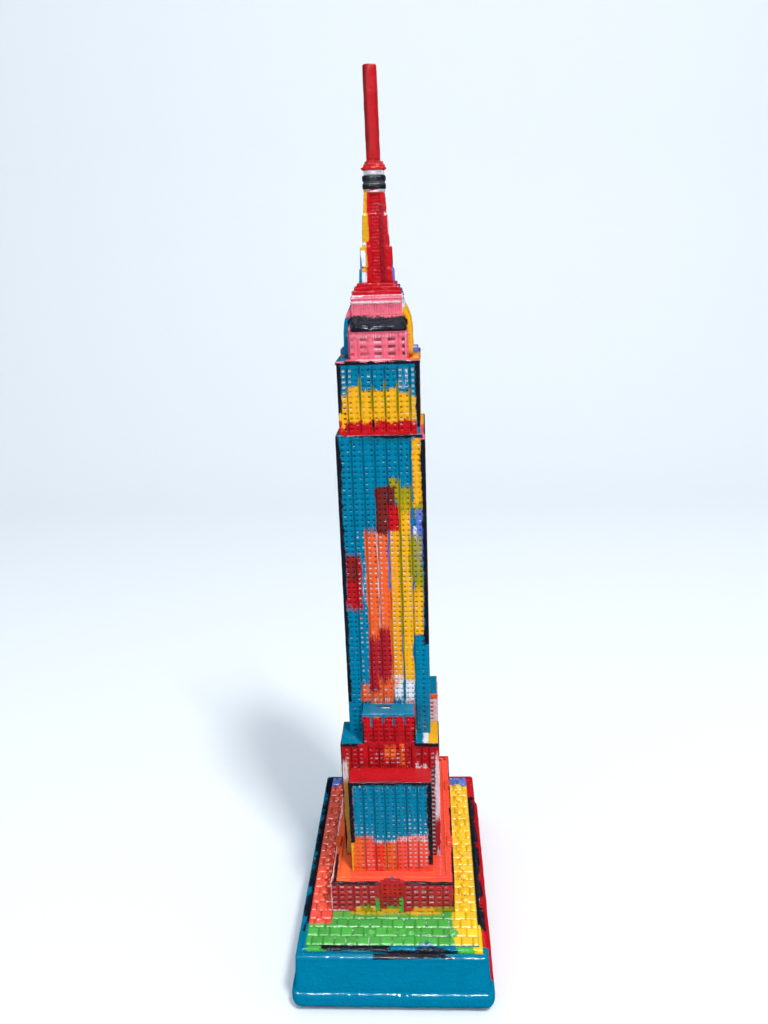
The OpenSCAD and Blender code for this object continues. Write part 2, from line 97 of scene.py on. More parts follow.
RING_GREY = (0.05, 0.05, 0.06)
RING_BLACK = (0.010, 0.014, 0.026)


def node_box(name):
    """The CAD node's box in millimetres, as (x0, y0, z0), (x1, y1, z1)."""
    low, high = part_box(name)
    return np.array(low) / MM, np.array(high) / MM


# ---------------------------------------------------------------- noise for vertices


def lattice(ix, iy, iz, seed):
    """Repeatable random numbers from 0 to 1 for whole-number lattice points."""
    h = ix * 374761393 + iy * 668265263 + iz * 2147483647 + seed * 1274126177
    h = (h ^ (h >> 13)) * 1103515245
    h = h ^ (h >> 16)
    return (h & 0xFFFF) / 65535.0


def value_noise(points, size, seed=0):
    """Smooth noise from -1 to 1 at points, with features of the given size."""
    p = np.asarray(points, float) / size
    base = np.floor(p).astype(np.int64)
    t = p - base
    t = t * t * (3 - 2 * t)
    total = 0.0
    for dx in (0, 1):
        for dy in (0, 1):
            for dz in (0, 1):
                weight = abs(1 - dx - t[..., 0]) * abs(1 - dy - t[..., 1]) * abs(1 - dz - t[..., 2])
                total = total + weight * lattice(
                    base[..., 0] + dx, base[..., 1] + dy, base[..., 2] + dz, seed
                )
    return 2 * total - 1


# ---------------------------------------------------------------- mesh building

ATTRIBUTES = ("wall_u", "wall_v", "recess", "sill", "cell", "groove")


class Piece:
    """Collects grids of vertices, each with its own flat chart, and makes one mesh of them."""

    def __init__(self, name):
        self.name = name
        self.points = []
        self.faces = []
        self.slots = []
        self.uv = []
        self.attributes = {key: [] for key in ATTRIBUTES}
        self.charts = []
        self.count = 0

    def grid(self, points, chart_uv, slot=0, hidden=None, **attributes):
        """Adds a grid of points, shape (n, m, 3) in mm, with a chart in mm of shape (n, m, 2).

        slot is one material slot or one for each quad. Quads with their middle inside hidden are left out.
        """
        points = np.asarray(points, float)
        n, m = points.shape[:2]
        index = np.arange(n * m).reshape(n, m) + self.count
        quads = np.stack(
            [index[:-1, :-1], index[1:, :-1], index[1:, 1:], index[:-1, 1:]], axis=-1
        ).reshape(-1, 4)
        slots = np.broadcast_to(slot, (n - 1, m - 1)).reshape(-1)
        if hidden is not None:
            middle = (
                points[:-1, :-1] + points[1:, :-1] + points[1:, 1:] + points[:-1, 1:]
            ).reshape(-1, 3) / 4
            low, high = hidden
            seen = ~np.all((middle > low) & (middle < high), axis=1)
            quads, slots = quads[seen], slots[seen]
        self.points.append(points.reshape(-1, 3))
        self.faces.append(quads)
        self.slots.append(slots)
        self.charts.append((self.count, n * m))
        self.uv.append(np.asarray(chart_uv, float).reshape(-1, 2))
        self.count += n * m
        for key in ATTRIBUTES:
            value = np.broadcast_to(attributes.get(key, 0.0), (n, m))
            self.attributes[key].append(np.array(value, float).reshape(-1))

    def packed_uv(self):
        """Lays the charts out in rows on one square sheet, side by side."""
        sizes = [uv.max(axis=0) - uv.min(axis=0) for uv in self.uv]
        gap = 0.6
        sheet = max(
            max(s[0] for s in sizes), math.sqrt(sum((s[0] + gap) * (s[1] + gap) for s in sizes)) * 1.05
        )
        order = sorted(range(len(sizes)), key=lambda i: -sizes[i][1])
        x = y = row = 0.0
        placed = [None] * len(sizes)
        for i in order:
            w, h = sizes[i]
            if x > 0 and x + w > sheet + 1e-6:
                x = 0.0
                y += row + gap
                row = 0.0
            placed[i] = self.uv[i] - self.uv[i].min(axis=0) + (x, y)
            x += w + gap
            row = max(row, h)
        scale = 1.0 / max(sheet, y + row)
        return np.concatenate(placed) * scale * 0.998 + 0.001

    def make(self, materials, node):
        """Makes the mesh object and lets it stand for its CAD node."""
        points = np.concatenate(self.points) * MM
        faces = np.concatenate(self.faces)
        mesh = bpy.data.meshes.new(self.name)
        used = np.unique(faces)
        renumber = np.zeros(len(points), int)
        renumber[used] = np.arange(len(used))
        mesh.from_pydata(points[used].tolist(), [], renumber[faces].tolist())
        for key in ATTRIBUTES:
            layer = mesh.attributes.new(key, "FLOAT", "POINT")
            layer.data.foreach_set("value", np.concatenate(self.attributes[key])[used].astype(np.float32))
        uv_layer = mesh.uv_layers.new(name="OFBake")
        corner = np.empty(len(mesh.loops), np.int32)
        mesh.loops.foreach_get("vertex_index", corner)
        uv_layer.data.foreach_set("uv", self.packed_uv()[used][corner].astype(np.float32).reshape(-1))
        for material in materials:
            mesh.materials.append(material)
        mesh.polygons.foreach_set("material_index", np.concatenate(self.slots).astype(np.int32))
        mesh.polygons.foreach_set("use_smooth", np.full(len(mesh.polygons), True))
        mesh.update()
        made = bpy.data.objects.new(self.name, mesh)
        bpy.context.scene.collection.objects.link(made)
        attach(made, "root")
        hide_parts(node)


class Lines:
    """Grid lines along one direction of a wall: plain lines, window edges and joint grooves."""

    def __init__(self):
        self.items = []

    def plain(self, *positions):
        for t in positions:
            self.items.append((t, -1, 0, 0.0, 0))
        return self

    def opening(self, centre, half, index, ramp=RAMP):
        """Four lines for one window: outer edge, inner edge, inner edge, outer edge."""
        for t, inner in ((-half - ramp, 0), (-half, 1), (half, 1), (half + ramp, 0)):
            self.items.append((centre + t, index, inner, 0.0, 0))
        return self

    def storey(self, centre, half, index, slope=0.42, lintel=0.1):
        """Four lines for a row of windows: a sloping sill below and a sharp lintel above."""
        for t, inner, sill in ((-half - slope, 0, 1), (-half, 1, 1), (half, 1, 0), (half + lintel, 0, 0)):
            self.items.append((centre + t, index, inner, 0.0, sill))
        return self

    def joint(self, centre, half, strength=1.0):
        """Four lines for a groove between two bays."""
        for t, deep in ((-half, 0.0), (-JOINT_FLOOR, strength), (JOINT_FLOOR, strength), (half, 0.0)):
            self.items.append((centre + t, -1, 0, deep, 0))
        return self

    def arrays(self):
        items = sorted(self.items)
        return [np.array(column) for column in zip(*items)]


def bare_wall(length, edge=0.5):
    """Lines for a wall with nothing on it but a margin of the given width at each end."""
    return Lines().plain(-length / 2, -length / 2 + edge, length / 2 - edge, length / 2)


def bay_lines(length, bays, pitch, window):
    """Lines for a wall of bays: two windows to each bay and a joint between bays."""
    lines = bare_wall(length)
    for i in range(bays):
        middle = (i - (bays - 1) / 2) * pitch
        for s in (0, 1):
            lines.opening(middle + (2 * s - 1) * pitch / 4, window / 2 - RAMP / 2, 2 * i + s)
        if i > 0:
            lines.joint(middle - pitch / 2, BAY_JOINT)
    return lines


def column_lines(length, centres, window, joints=()):
    """Lines for a wall whose window columns stand at the given centres."""
    lines = bare_wall(length)
    for i, centre in enumerate(centres):
        lines.opening(centre, window / 2 - RAMP / 2, i)
    for centre in joints:
        lines.joint(centre, COLUMN_JOINT)
    return lines


def floor_lines(z0, z1, first, pitch, window, top_gap):
    """Upright lines: a row of windows for each storey between z0 and z1."""
    lines = Lines()
    lines.plain(z0, z1)
    z = z0 + first
    index = 0
    while z + window / 2 < z1 - top_gap:
        lines.storey(z + 0.12, window / 2 - 0.2, index)
        z += pitch
        index += 1
    return lines


def block_columns(w, d, corner, front, side):
    """The upright lines round a block, from the middle of its back by the left, front and right walls.

    Each is (place along the wall, wall, offset on it, angle, window, inside a window, groove). A rounded
    corner's lines have a wall number below zero.
    """
    columns = [(-(w + d), BACK, 0.0, 0.0, -1, 0, 0.0)]

    def side_columns(lines, length, wall, start_u, keep=lambda t: True):
        t, window, inner, deep, _ = lines.arrays()
        for k in range(len(t)):
            if abs(t[k]) < length / 2 - corner and keep(t[k]):
                columns.append((start_u + t[k], wall, t[k], 0.0, window[k], inner[k], deep[k]))

    def corner_columns(next_wall, u):
        for k in range(CORNER_STEPS + 1):
            angle = k * math.pi / 2 / CORNER_STEPS
            columns.append((u + (k - 2) * corner * 0.4, -next_wall - 1, 0.0, angle, -1, 0, 0.0))

    side_columns(front, w, BACK, -(w + d), lambda t: t >= 0)
    corner_columns(LEFT, -(w / 2 + d))
    side_columns(side, d, LEFT, -(w / 2 + d / 2))
    corner_columns(FRONT, -w / 2)
    side_columns(front, w, FRONT, 0.0)
    corner_columns(RIGHT, w / 2)
    side_columns(side, d, RIGHT, w / 2 + d / 2)
    corner_columns(BACK, w / 2 + d)
    side_columns(front, w, BACK, w + d, lambda t: t < 0)
    columns.append((w + d, BACK, 0.0, 0.0, -1, 0, 0.0))
    return columns


def block_outline(columns, w, d, corner):
    """Where each upright line stands round the block's middle, which way it faces and how its wall runs."""
    walls = [(np.array(out), np.array(right), half, reach) for out, right, half, reach in (
        ((0, -1), (1, 0), w / 2, d / 2), ((1, 0), (0, 1), d / 2, w / 2),
        ((0, 1), (-1, 0), w / 2, d / 2), ((-1, 0), (0, -1), d / 2, w / 2))]
    base, normal, along = (np.zeros((len(columns), 2)) for _ in range(3))
    for i, (_, wall, t, angle, _, _, _) in enumerate(columns):
        out, right, half, reach = walls[wall if wall >= 0 else (-wall - 2) % len(walls)]
        if wall >= 0:
            base[i] = out * reach + right * t
            normal[i], along[i] = out, right
        else:
            way = out * math.cos(angle) + right * math.sin(angle)
            base[i] = out * (reach - corner) + right * (half - corner) + way * corner
            normal[i], along[i] = way, (-way[1], way[0])
    return base, normal, along


def block_rows(floors, z1, corner):
    """The level lines of a block: height, storey, inside a window, groove, sill and inset of each."""
    kept = floors.arrays()[0] <= z1 - corner + 1e-6
    rows = [values[kept] for values in floors.arrays()]
    if rows[0][-1] < z1 - corner - 1e-6:
        rows = [np.append(values, last) for values, last in zip(rows, (z1 - corner, -1, 0, 0.0, 0))]
    bend = np.linspace(0, math.pi / 2, CORNER_STEPS + 1)[1:]
    inset = np.append(np.zeros(len(rows[0])), corner * (1 - np.cos(bend)))
    plain = [[value] * CORNER_STEPS for value in (-1, 0, 0.0, 0)]
    rows = [
        np.append(values, more) for values, more in zip(rows, [z1 - corner + corner * np.sin(bend)] + plain)
    ]
    return (*rows, inset)


def wall_block(piece, low, high, front, side, floors, seed, slots=(0, 1, 2, 3, 4), corner=0.45, depth=0.42,
               groove=0.6, wobble=0.05, roof_step=1.3, swell=0.06, hidden=None, thick=None):
    """A block with relief on four sides, rounded edges and a brushed roof.

    wall_u runs round the block from the middle of the back: it is 0 at the middle of the front, so a brush
    stroke is placed by how far it is along the wall and how high. wall_v is the height. The back repeats the
    front. slots are the material slots of the front, right, back and left walls and the roof. thick gives,
    for a place along the wall and a height, the share of a recess's depth that the paint leaves open.
    """
    w, d = high[0] - low[0], high[1] - low[1]
    axis = np.array([(low[0] + high[0]) / 2, (low[1] + high[1]) / 2])
    z0, z1 = low[2], high[2]
    columns = block_columns(w, d, corner, front, side)
    base, normal, along = (values[:, None] for values in block_outline(columns, w, d, corner))
    u, wall, _, _, window, inner, deep = (np.array(values)[:, None] for values in zip(*columns))
    z, storey, between, scored, sill, inset = (values[None, :] for values in block_rows(floors, z1, corner))
    wall = np.clip(wall, 0, 3)

    rng = np.random.default_rng(seed)
    has = (window >= 0) & (storey >= 0)
    cell = np.where(has, rng.random((4, MOST_COLUMNS, MOST_STOREYS))[wall, window, storey], 0.0)
    recess = inner * between * has
    stretched = np.stack(np.broadcast_arrays(u, z * 0.12, 0.0), -1)
    choked = np.clip(0.75 + 0.9 * value_noise(stretched, 2.4, seed + 17), 0.25, 1)
    if thick:
        choked = choked * thick(u, z - DATUM)
    column_depth = rng.uniform(0.45, 1.1, (4, MOST_COLUMNS))[wall, window]
    filled = np.where(cell > 0.95, 0.3, 0.8 + 0.3 * cell) * column_depth
    ends = np.clip((z1 - 1.0 - z) / 0.5, 0, 1) * np.clip((z - z0) / 0.6, 0, 1)
    into = recess * depth * filled * choked + deep * groove * ends + scored * groove

    flat = base - normal * (into + inset)[..., None] + axis
    points = np.concatenate([flat, np.broadcast_to(z, into.shape)[..., None]], axis=-1)
    soft = value_noise(points, 2.1, seed) * wobble + value_noise(points, 0.7, seed + 5) * wobble * 0.6
    sideways = value_noise(points, 0.9, seed + 9) * wobble * 1.6 * (window >= 0)
    rise = value_noise(points, 0.9, seed + 13) * wobble * 1.4 * (storey >= 0)
    puff = swell * np.clip(1 - recess * 2, 0, 1) * (deep == 0)
    points[..., :2] += normal * (soft + puff - swell)[..., None] + along * sideways[..., None]
    points[..., 2] += np.where(z < z1 - 1.0, rise, 0.0) * (z > z0 + 0.01)
    uv = np.stack(np.broadcast_arrays(u, z), axis=-1)
    middle = (u[1:] + u[:-1]) / 2
    which = np.select([abs(middle) < w / 2, abs(middle) > w / 2 + d, middle > 0], [FRONT, BACK, RIGHT], LEFT)
    piece.grid(points, uv, np.array(slots)[which], hidden, wall_u=u, wall_v=z - DATUM, recess=recess * choked,
               cell=cell, groove=np.maximum(deep * ends, scored), sill=sill)
    roof_patch(piece, (low[0] + corner, low[1] + corner), (high[0] - corner, high[1] - corner), z1, seed + 3,
               slots[4], roof_step, wobble * 1.6, hidden)


def roof_patch(piece, low, high, z, seed, slot, step=1.3, lumps=0.08, hidden=None):
    """A flat roof with thick, uneven paint; its rim stays at height z."""
    nx = max(3, int((high[0] - low[0]) / step) + 1)
    ny = max(3, int((high[1] - low[1]) / step) + 1)
    xs, ys = np.linspace(low[0], high[0], nx), np.linspace(low[1], high[1], ny)
    gx, gy = np.meshgrid(xs, ys, indexing="ij")
    points = np.stack([gx, gy, np.full_like(gx, z)], axis=-1)
    edge = np.minimum.reduce([gx - low[0], high[0] - gx, gy - low[1], high[1] - gy])
    fade = np.clip(edge / 0.8, 0, 1)
    points[..., 2] += fade * value_noise(points, 2.4, seed) * lumps
    piece.grid(points, np.stack([gx, gy], axis=-1), slot, hidden, wall_u=gx, wall_v=gy)


# ---------------------------------------------------------------- paint shader


class Shader:
    """Short names for the node calls that the paints are built from."""

    def __init__(self, tree):
        self.tree = tree

    def add(self, kind, values=None, **settings):
        made = self.tree.nodes.new(kind)
        for key, value in settings.items():
            setattr(made, key, value)
        for key, value in (values or {}).items():
            self.put(made.inputs[key], value)
        return made

    def put(self, socket, value):
        if isinstance(value, bpy.types.NodeSocket):
            self.tree.links.new(value, socket)
        elif isinstance(value, (tuple, list)) and len(value) == 3 and socket.type == "RGBA":
            socket.default_value = (*value, 1.0)
        else:
            socket.default_value = value

    def math(self, operation, a, b=0.0, c=0.0):
        made = self.add("ShaderNodeMath", operation=operation)
        for socket, value in zip(made.inputs, (a, b, c)):
            self.put(socket, value)
        return made.outputs[0]

    def vector(self, operation, a, b=(0.0, 0.0, 0.0), c=(0.0, 0.0, 0.0)):
        made = self.add("ShaderNodeVectorMath", operation=operation)
        for socket, value in zip(made.inputs, (a, b, c)):
            self.put(socket, value)
        return made.outputs[0]

    def mix(self, factor, a, b):
        made = self.add("ShaderNodeMix", data_type="RGBA")
        self.put(made.inputs[0], factor)
        self.put(made.inputs[6], a)
        self.put(made.inputs[7], b)
        return made.outputs[2]

    def blend(self, factor, a, b):
        made = self.add("ShaderNodeMix", data_type="FLOAT")
        self.put(made.inputs[0], factor)
        self.put(made.inputs[2], a)
        self.put(made.inputs[3], b)
        return made.outputs[0]

    def ramp(self, value, low, high, to_low=0.0, to_high=1.0):
        made = self.add("ShaderNodeMapRange", {"Value": value, "From Min": low, "From Max": high,
                                                "To Min": to_low, "To Max": to_high}, clamp=True)
        return made.outputs[0]

    def noise(self, vector, scale, detail=2.0, roughness=0.5):
        made = self.add(
            "ShaderNodeTexNoise",
            {"Vector": vector, "Scale": scale, "Detail": detail, "Roughness": roughness}
        )
        return made.outputs["Fac"]

    def attribute(self, name):
        return self.add("ShaderNodeAttribute", attribute_name=name).outputs["Fac"]

    def scaled(self, vector, factor):
        made = self.add("ShaderNodeVectorMath", {"Vector": vector, "Scale": factor}, operation="SCALE")
        return made.outputs[0]

    def bump(self, shader, height, strength, distance):
        """Presses height into the shader's surface; distance is in mm."""
        made = self.add("ShaderNodeBump", {"Height": height, "Strength": strength, "Distance": distance * MM})
        self.put(shader.inputs["Normal"], made.outputs[0])

    def combine(self, x, y, z=0.0):
        made = self.add("ShaderNodeCombineXYZ")
        for socket, value in zip(made.inputs, (x, y, z)):
            self.put(socket, value)
        return made.outputs[0]


def brush_group(name, holes_only):
    """One brush stroke as a node group: a ragged box with combed ends that covers what is under it.

    Place and Half carry the recess's random number and the share of recesses the brush reached as their third
    value. Recesses it missed show the white primer. With holes_only the paint goes in the recesses alone.
    """
    tree = bpy.data.node_groups.new(name, "ShaderNodeTree")
    face = tree.interface
    for socket, kind in (
        ("Colour", "Color"), ("Height", "Float"), ("Place", "Vector"), ("Comb", "Vector"),
        ("Ragged", "Float"), ("Thin", "Float"), ("Recess", "Float"), ("Paint", "Color"),
        ("Centre", "Vector"), ("Half", "Vector"), ("Fray", "Vector"), ("Rough edge", "Float"),
        ("Opacity", "Float"), ("Lift", "Float"), ("Crest", "Float")
    ):
        face.new_socket(name=socket, in_out="INPUT", socket_type="NodeSocket" + kind)
    face.new_socket(name="Colour", in_out="OUTPUT", socket_type="NodeSocketColor")
    face.new_socket(name="Height", in_out="OUTPUT", socket_type="NodeSocketFloat")
    s = Shader(tree)
    given = tree.nodes.new("NodeGroupInput").outputs
    place = s.vector("MULTIPLY_ADD", given["Height"], (0.0, 0.0, 1e-6), given["Place"])
    away = s.vector("ABSOLUTE", s.vector("SUBTRACT", place, given["Centre"]))
    away = s.vector("MULTIPLY_ADD", given["Comb"], given["Fray"], s.vector("SUBTRACT", away, given["Half"]))
    parts = s.add("ShaderNodeSeparateXYZ", {"Vector": away}).outputs
    reach = s.math(
        "MULTIPLY_ADD", given["Ragged"], given["Rough edge"], s.math("MAXIMUM", parts[0], parts[1])
    )
    laid = s.ramp(reach, 0.09, -0.09)
    if holes_only:
        filled = s.math("MULTIPLY", given["Recess"], s.math("LESS_THAN", parts[2], 0.0))
        colour = s.mix(s.math("MULTIPLY", laid, filled), given["Colour"], given["Paint"])
        height = given["Height"]
    else:
        missed = s.math("MULTIPLY", given["Recess"], s.math("GREATER_THAN", parts[2], 0.0))
        cover = s.add("ShaderNodeClamp", {"Value": s.math("ADD", given["Opacity"], given["Thin"])}).outputs[0]
        seen = s.math("MAXIMUM", cover, missed)
        colour = s.mix(s.math("MULTIPLY", laid, seen), given["Colour"], s.mix(missed, given["Paint"], PRIMER))
        ridge = s.ramp(reach, -0.5, -0.05, given["Lift"], given["Crest"])
        height = s.blend(laid, given["Height"], ridge)
    result = tree.nodes.new("NodeGroupOutput")
    tree.links.new(colour, result.inputs["Colour"])
    tree.links.new(height, result.inputs["Height"])
    return tree


BRUSH = {False: brush_group("brush_stroke", False), True: brush_group("recess_stroke", True)}


def stroke(paint, u, v, fray=(0.0, 1.5), ragged=0.25, opacity=0.95, fill=0.97, holes=False, lift=1.0):
    """One brush stroke: its paint, its spans along the wall and up it, and how it breaks up at its ends.

    opacity is the share of the box that the dry brush covered, and fill the share of window recesses that it
    reached; holes puts paint only in the recesses.
    """
    return {"paint": paint, "u": u, "v": v, "fray": fray, "ragged": ragged, "opacity": opacity, "fill": fill,
            "holes": holes, "lift": lift}


def new_material(name):
    """A new material, its node helper and its shader node."""
    material = bpy.data.materials.new(name)
    material.use_nodes = True
    return material, Shader(material.node_tree), material.node_tree.nodes["Principled BSDF"]


def paint_marks(s, grain):
    """The places, recesses and random marks that every layer of paint on a wall shares."""
    m = SimpleNamespace(**{name: s.attribute(name) for name in ATTRIBUTES})
    m.solid = s.scaled(s.add("ShaderNodeNewGeometry").outputs["Position"], 1 / MM)
    m.wander = s.math("SUBTRACT", s.noise(m.solid, 0.35, 1.0), 0.5)
    m.fine = s.math("SUBTRACT", s.noise(m.solid, 1.7, 3.0, 0.62), 0.5)
    m.ragged = s.math("ADD", s.math("MULTIPLY", m.wander, 2.6), s.math("MULTIPLY", m.fine, 2.4))
    m.speck = s.math("SUBTRACT", s.noise(m.solid, 1.9, 1.0), 0.5)
    m.sway = s.math("SUBTRACT", s.noise(m.solid, 0.08, 1.0), 0.5)
    m.chance = s.math("MULTIPLY_ADD", m.speck, 0.45, m.cell)
    m.place = s.combine(
        s.math("MULTIPLY_ADD", m.sway, 1.8, m.wall_u), s.math("MULTIPLY_ADD", m.sway, -1.8, m.wall_v),
        s.math("MAXIMUM", m.chance, 0.0)
    )
    along, across = 0.13, 3.2
    hairs = {}
    for way, scale_u, scale_v in (("up", across, along), ("across", along, across)):
        place = s.combine(s.math("MULTIPLY", m.wall_u, scale_u), s.math("MULTIPLY", m.wall_v, scale_v))
        hairs[way] = s.ramp(s.noise(place, 1.0, 3.0, 0.6), 0.3, 0.7, -1, 1)
    m.comb = s.combine(hairs["across"], hairs["up"])
    m.streak = hairs[grain]
    m.thin = s.math("MULTIPLY", m.streak, 1.7)
    return m


def lay_stroke(s, m, each, colour, height):
    """Lays one brush stroke over the colour and height under it and returns the new ones."""
    (u0, u1), (v0, v1) = each["u"], each["v"]
    laid = s.add(
        "ShaderNodeGroup",
        {
            "Colour": colour, "Height": height, "Place": m.place, "Comb": m.comb, "Ragged": m.ragged,
            "Thin": m.thin, "Recess": m.recess, "Paint": each["paint"],
            "Centre": ((u0 + u1) / 2, (v0 + v1) / 2, 0.0),
            "Half": ((u1 - u0) / 2, (v1 - v0) / 2, each["fill"]), "Fray": (*each["fray"], 0.0),
            "Rough edge": each["ragged"], "Opacity": 0.5 + 2.2 * (2 * each["opacity"] - 1),
            "Lift": each["lift"], "Crest": 1.5 * each["lift"]
        },
        node_tree=BRUSH[each["holes"]]
    )
    return laid.outputs["Colour"], laid.outputs["Height"]


def scored_colour(s, m, colour, score, joints):
    """Darkens the grooves with painted shade. With a colour for joints, slabs differ in tone at random,
    joints get painted shade, and some joints turn to that colour, as chipped paint and as a painted
    highlight.
    """
    scored = s.ramp(
        s.math("MULTIPLY_ADD", m.fine, 0.4, s.math("MULTIPLY_ADD", m.sway, 0.6, m.groove)), 0.15, 0.9
    )
    if not joints:
        return s.mix(
            s.math("MULTIPLY", scored, score), colour, s.vector("MULTIPLY", colour, (0.2, 0.22, 0.28))
        )
    toned = s.scaled(colour, s.ramp(m.cell, 0.0, 1.0, 0.82, 1.12))
    inside = s.math("LESS_THAN", s.math("ABSOLUTE", m.wall_u), 26.0)
    # Some joints turn white, as chipped paint and as a painted highlight; the rest get painted shade.
    chips_and_glints = s.math("MULTIPLY", s.math("MULTIPLY", scored, inside), s.ramp(m.wander, 0.03, 0.12))
    dark = s.mix(s.math("MULTIPLY", scored, 0.5), toned, s.vector("MULTIPLY", toned, (0.3, 0.35, 0.4)))
    return s.mix(s.math("MULTIPLY", chips_and_glints, 0.65), dark, joints)


def acrylic(name, ground, strokes, grain="up", gloss=0.10, fill=1.1, bump=0.9, shine=0.45, joints=None,
            rub=(0.0, 0.45), shadow=0.3, score=0.5, grit=1.0):
    """Gloss acrylic over white primer: a ground colour, then brush strokes in the order they were laid.

    fill is the share of recesses that the ground colour reached. joints is a colour for the scored grooves.
    rub is how white the least and the most marked sills turn, partly bare primer and partly a
    painted highlight. shadow is the light left in a recess by its painted shade, and score the darkness of
    the painted shade in a groove. grit is how rough the dried brush marks are.
    """
    material, s, shader = new_material(name)
    m = paint_marks(s, grain)
    missed = s.math("MULTIPLY", m.recess, s.math("GREATER_THAN", m.chance, fill))
    colour = s.mix(missed, ground, PRIMER)
    height = s.math("MULTIPLY", m.streak, 0.3 * grit)
    for each in strokes:
        colour, height = lay_stroke(s, m, each, colour, height)

    # Sills turn towards white: partly bare primer where the paint wore off, partly a painted highlight where
    # a sill catches the light.
    ledge = s.math("MULTIPLY", s.ramp(m.sill, 0.8, 0.95), s.ramp(m.recess, 0.1, 0.35))
    bare_and_glinting = s.ramp(s.math("MULTIPLY_ADD", m.speck, 0.9, m.cell), 0.75, 1.15, *rub)
    colour = s.mix(s.math("MULTIPLY", ledge, bare_and_glinting), colour, PRIMER)
    # Brush tone varies at random; recesses are darkened by painted shade, except on their sloping sills.
    shade = s.math("MULTIPLY", s.ramp(s.math("ADD", m.streak, m.wander), -1.2, 1.2, 0.84, 1.12),
                   s.ramp(s.math("SUBTRACT", m.recess, ledge), 0.0, 0.8, 1.0, shadow))
    s.put(shader.inputs["Base Color"], scored_colour(s, m, s.scaled(colour, shade), score, joints))
    s.put(
        shader.inputs["Roughness"],
        s.ramp(s.math("ADD", m.streak, m.fine), -1.5, 1.5, gloss - 0.04, gloss + 0.06)
    )
    shader.inputs["IOR"].default_value = 1.5
    shader.inputs["Specular IOR Level"].default_value = shine
    marks = s.math("ADD", s.math("MULTIPLY", m.fine, 0.3 * grit), s.math("MULTIPLY", m.streak, 0.2 * grit))
    relief = s.math("ADD", height, s.math("MULTIPLY_ADD", s.noise(m.solid, 0.7, 1.0), 4.5, marks))
    s.bump(shader, relief, bump, 0.12)
    return material


def paint_job(name, ground, front=(), right=(), back=(), left=(), roof=(), roof_ground=None, **look):
    """The five paints of a block: its front, right, back and left walls, and its roof."""
    walls = (("front", front), ("right", right), ("back", back), ("left", left))
    made = [acrylic(f"{name}_{side}", ground, strokes, **look) for side, strokes in walls]
    return made + [acrylic(f"{name}_roof", roof_ground or ground, roof, grain="across", shine=0.2)]


# ---------------------------------------------------------------- simple paints and metals


def bare_metal(name, colour, rough, grain=(40.0, 40.0, 1200.0)):
    """Turned or plated steel with fine marks, for the hardware inside the stack."""
    material, s, shader = new_material(name)
    place = s.add("ShaderNodeTexCoord").outputs["Object"]
    marks = s.noise(s.vector("MULTIPLY", place, grain), 6.0, 4.0)
    s.put(shader.inputs["Base Color"], s.mix(marks, tuple(0.7 * c for c in colour), colour))
    shader.inputs["Metallic"].default_value = 1.0
    s.put(shader.inputs["Roughness"], s.ramp(marks, 0.2, 0.8, rough - 0.1, rough + 0.15))
    s.bump(shader, marks, 0.2, 0.05)
    return material


def felt(name):
    """Matted black fibres of the pad under the plinth."""
    material, s, shader = new_material(name)
    fibres = s.noise(s.add("ShaderNodeTexCoord").outputs["Object"], 1500.0, 6.0, 0.7)
    s.put(shader.inputs["Base Color"], s.mix(fibres, (0.006, 0.006, 0.008), (0.035, 0.035, 0.04)))
    shader.inputs["Roughness"].default_value = 0.95
    shader.inputs["Sheen Weight"].default_value = 0.4
    s.bump(shader, fibres, 0.7, 0.3)
    return material


# ---------------------------------------------------------------- rounded rings, prisms and turned parts


def ring(x0, x1, y0, y1, radius, per_side=12):
    """Points round a rounded rectangle from the middle of its back, and how far each is along it."""
    w, d = x1 - x0, y1 - y0
    points, normals, reach = [], [], []
    corners = ((x0, y1), (x0, y0), (x1, y0), (x1, y1))
    spans = (w / 2, d, w, d, w / 2)
    heading = [(-1, 0), (0, -1), (1, 0), (0, 1), (-1, 0)]
    outward = [(0, 1), (-1, 0), (0, -1), (1, 0), (0, 1)]
    turns = 5
    u = -(w + d)
    first = ((x0 + x1) / 2, y1)
    for leg, ((hx, hy), (ox, oy)) in enumerate(zip(heading, outward)):
        half_leg = leg in (0, 4)
        length = spans[leg] - (radius if half_leg else 2 * radius)
        count = max(2, int(per_side * (0.5 if half_leg else 1)))
        if leg > 0:
            first = (corners[leg - 1][0] + hx * radius, corners[leg - 1][1] + hy * radius)
        for k in range(count):
            f = k / (count - 1)
            points.append((first[0] + hx * length * f, first[1] + hy * length * f))
            normals.append((ox, oy))
            reach.append(u + length * f)
        u += length
        if leg < 4:
            centre = (
                corners[leg][0] - hx * radius - ox * radius, corners[leg][1] - hy * radius - oy * radius
            )
            for k in range(1, turns):
                turn = k / turns * math.pi / 2
                nx = ox * math.cos(turn) + hx * math.sin(turn)
                ny = oy * math.cos(turn) + hy * math.sin(turn)
                points.append((centre[0] + nx * radius, centre[1] + ny * radius))
                normals.append((nx, ny))
                reach.append(u + 2 * radius * k / turns)
            u += 2 * radius
    return np.array(points), np.array(normals), np.array(reach)


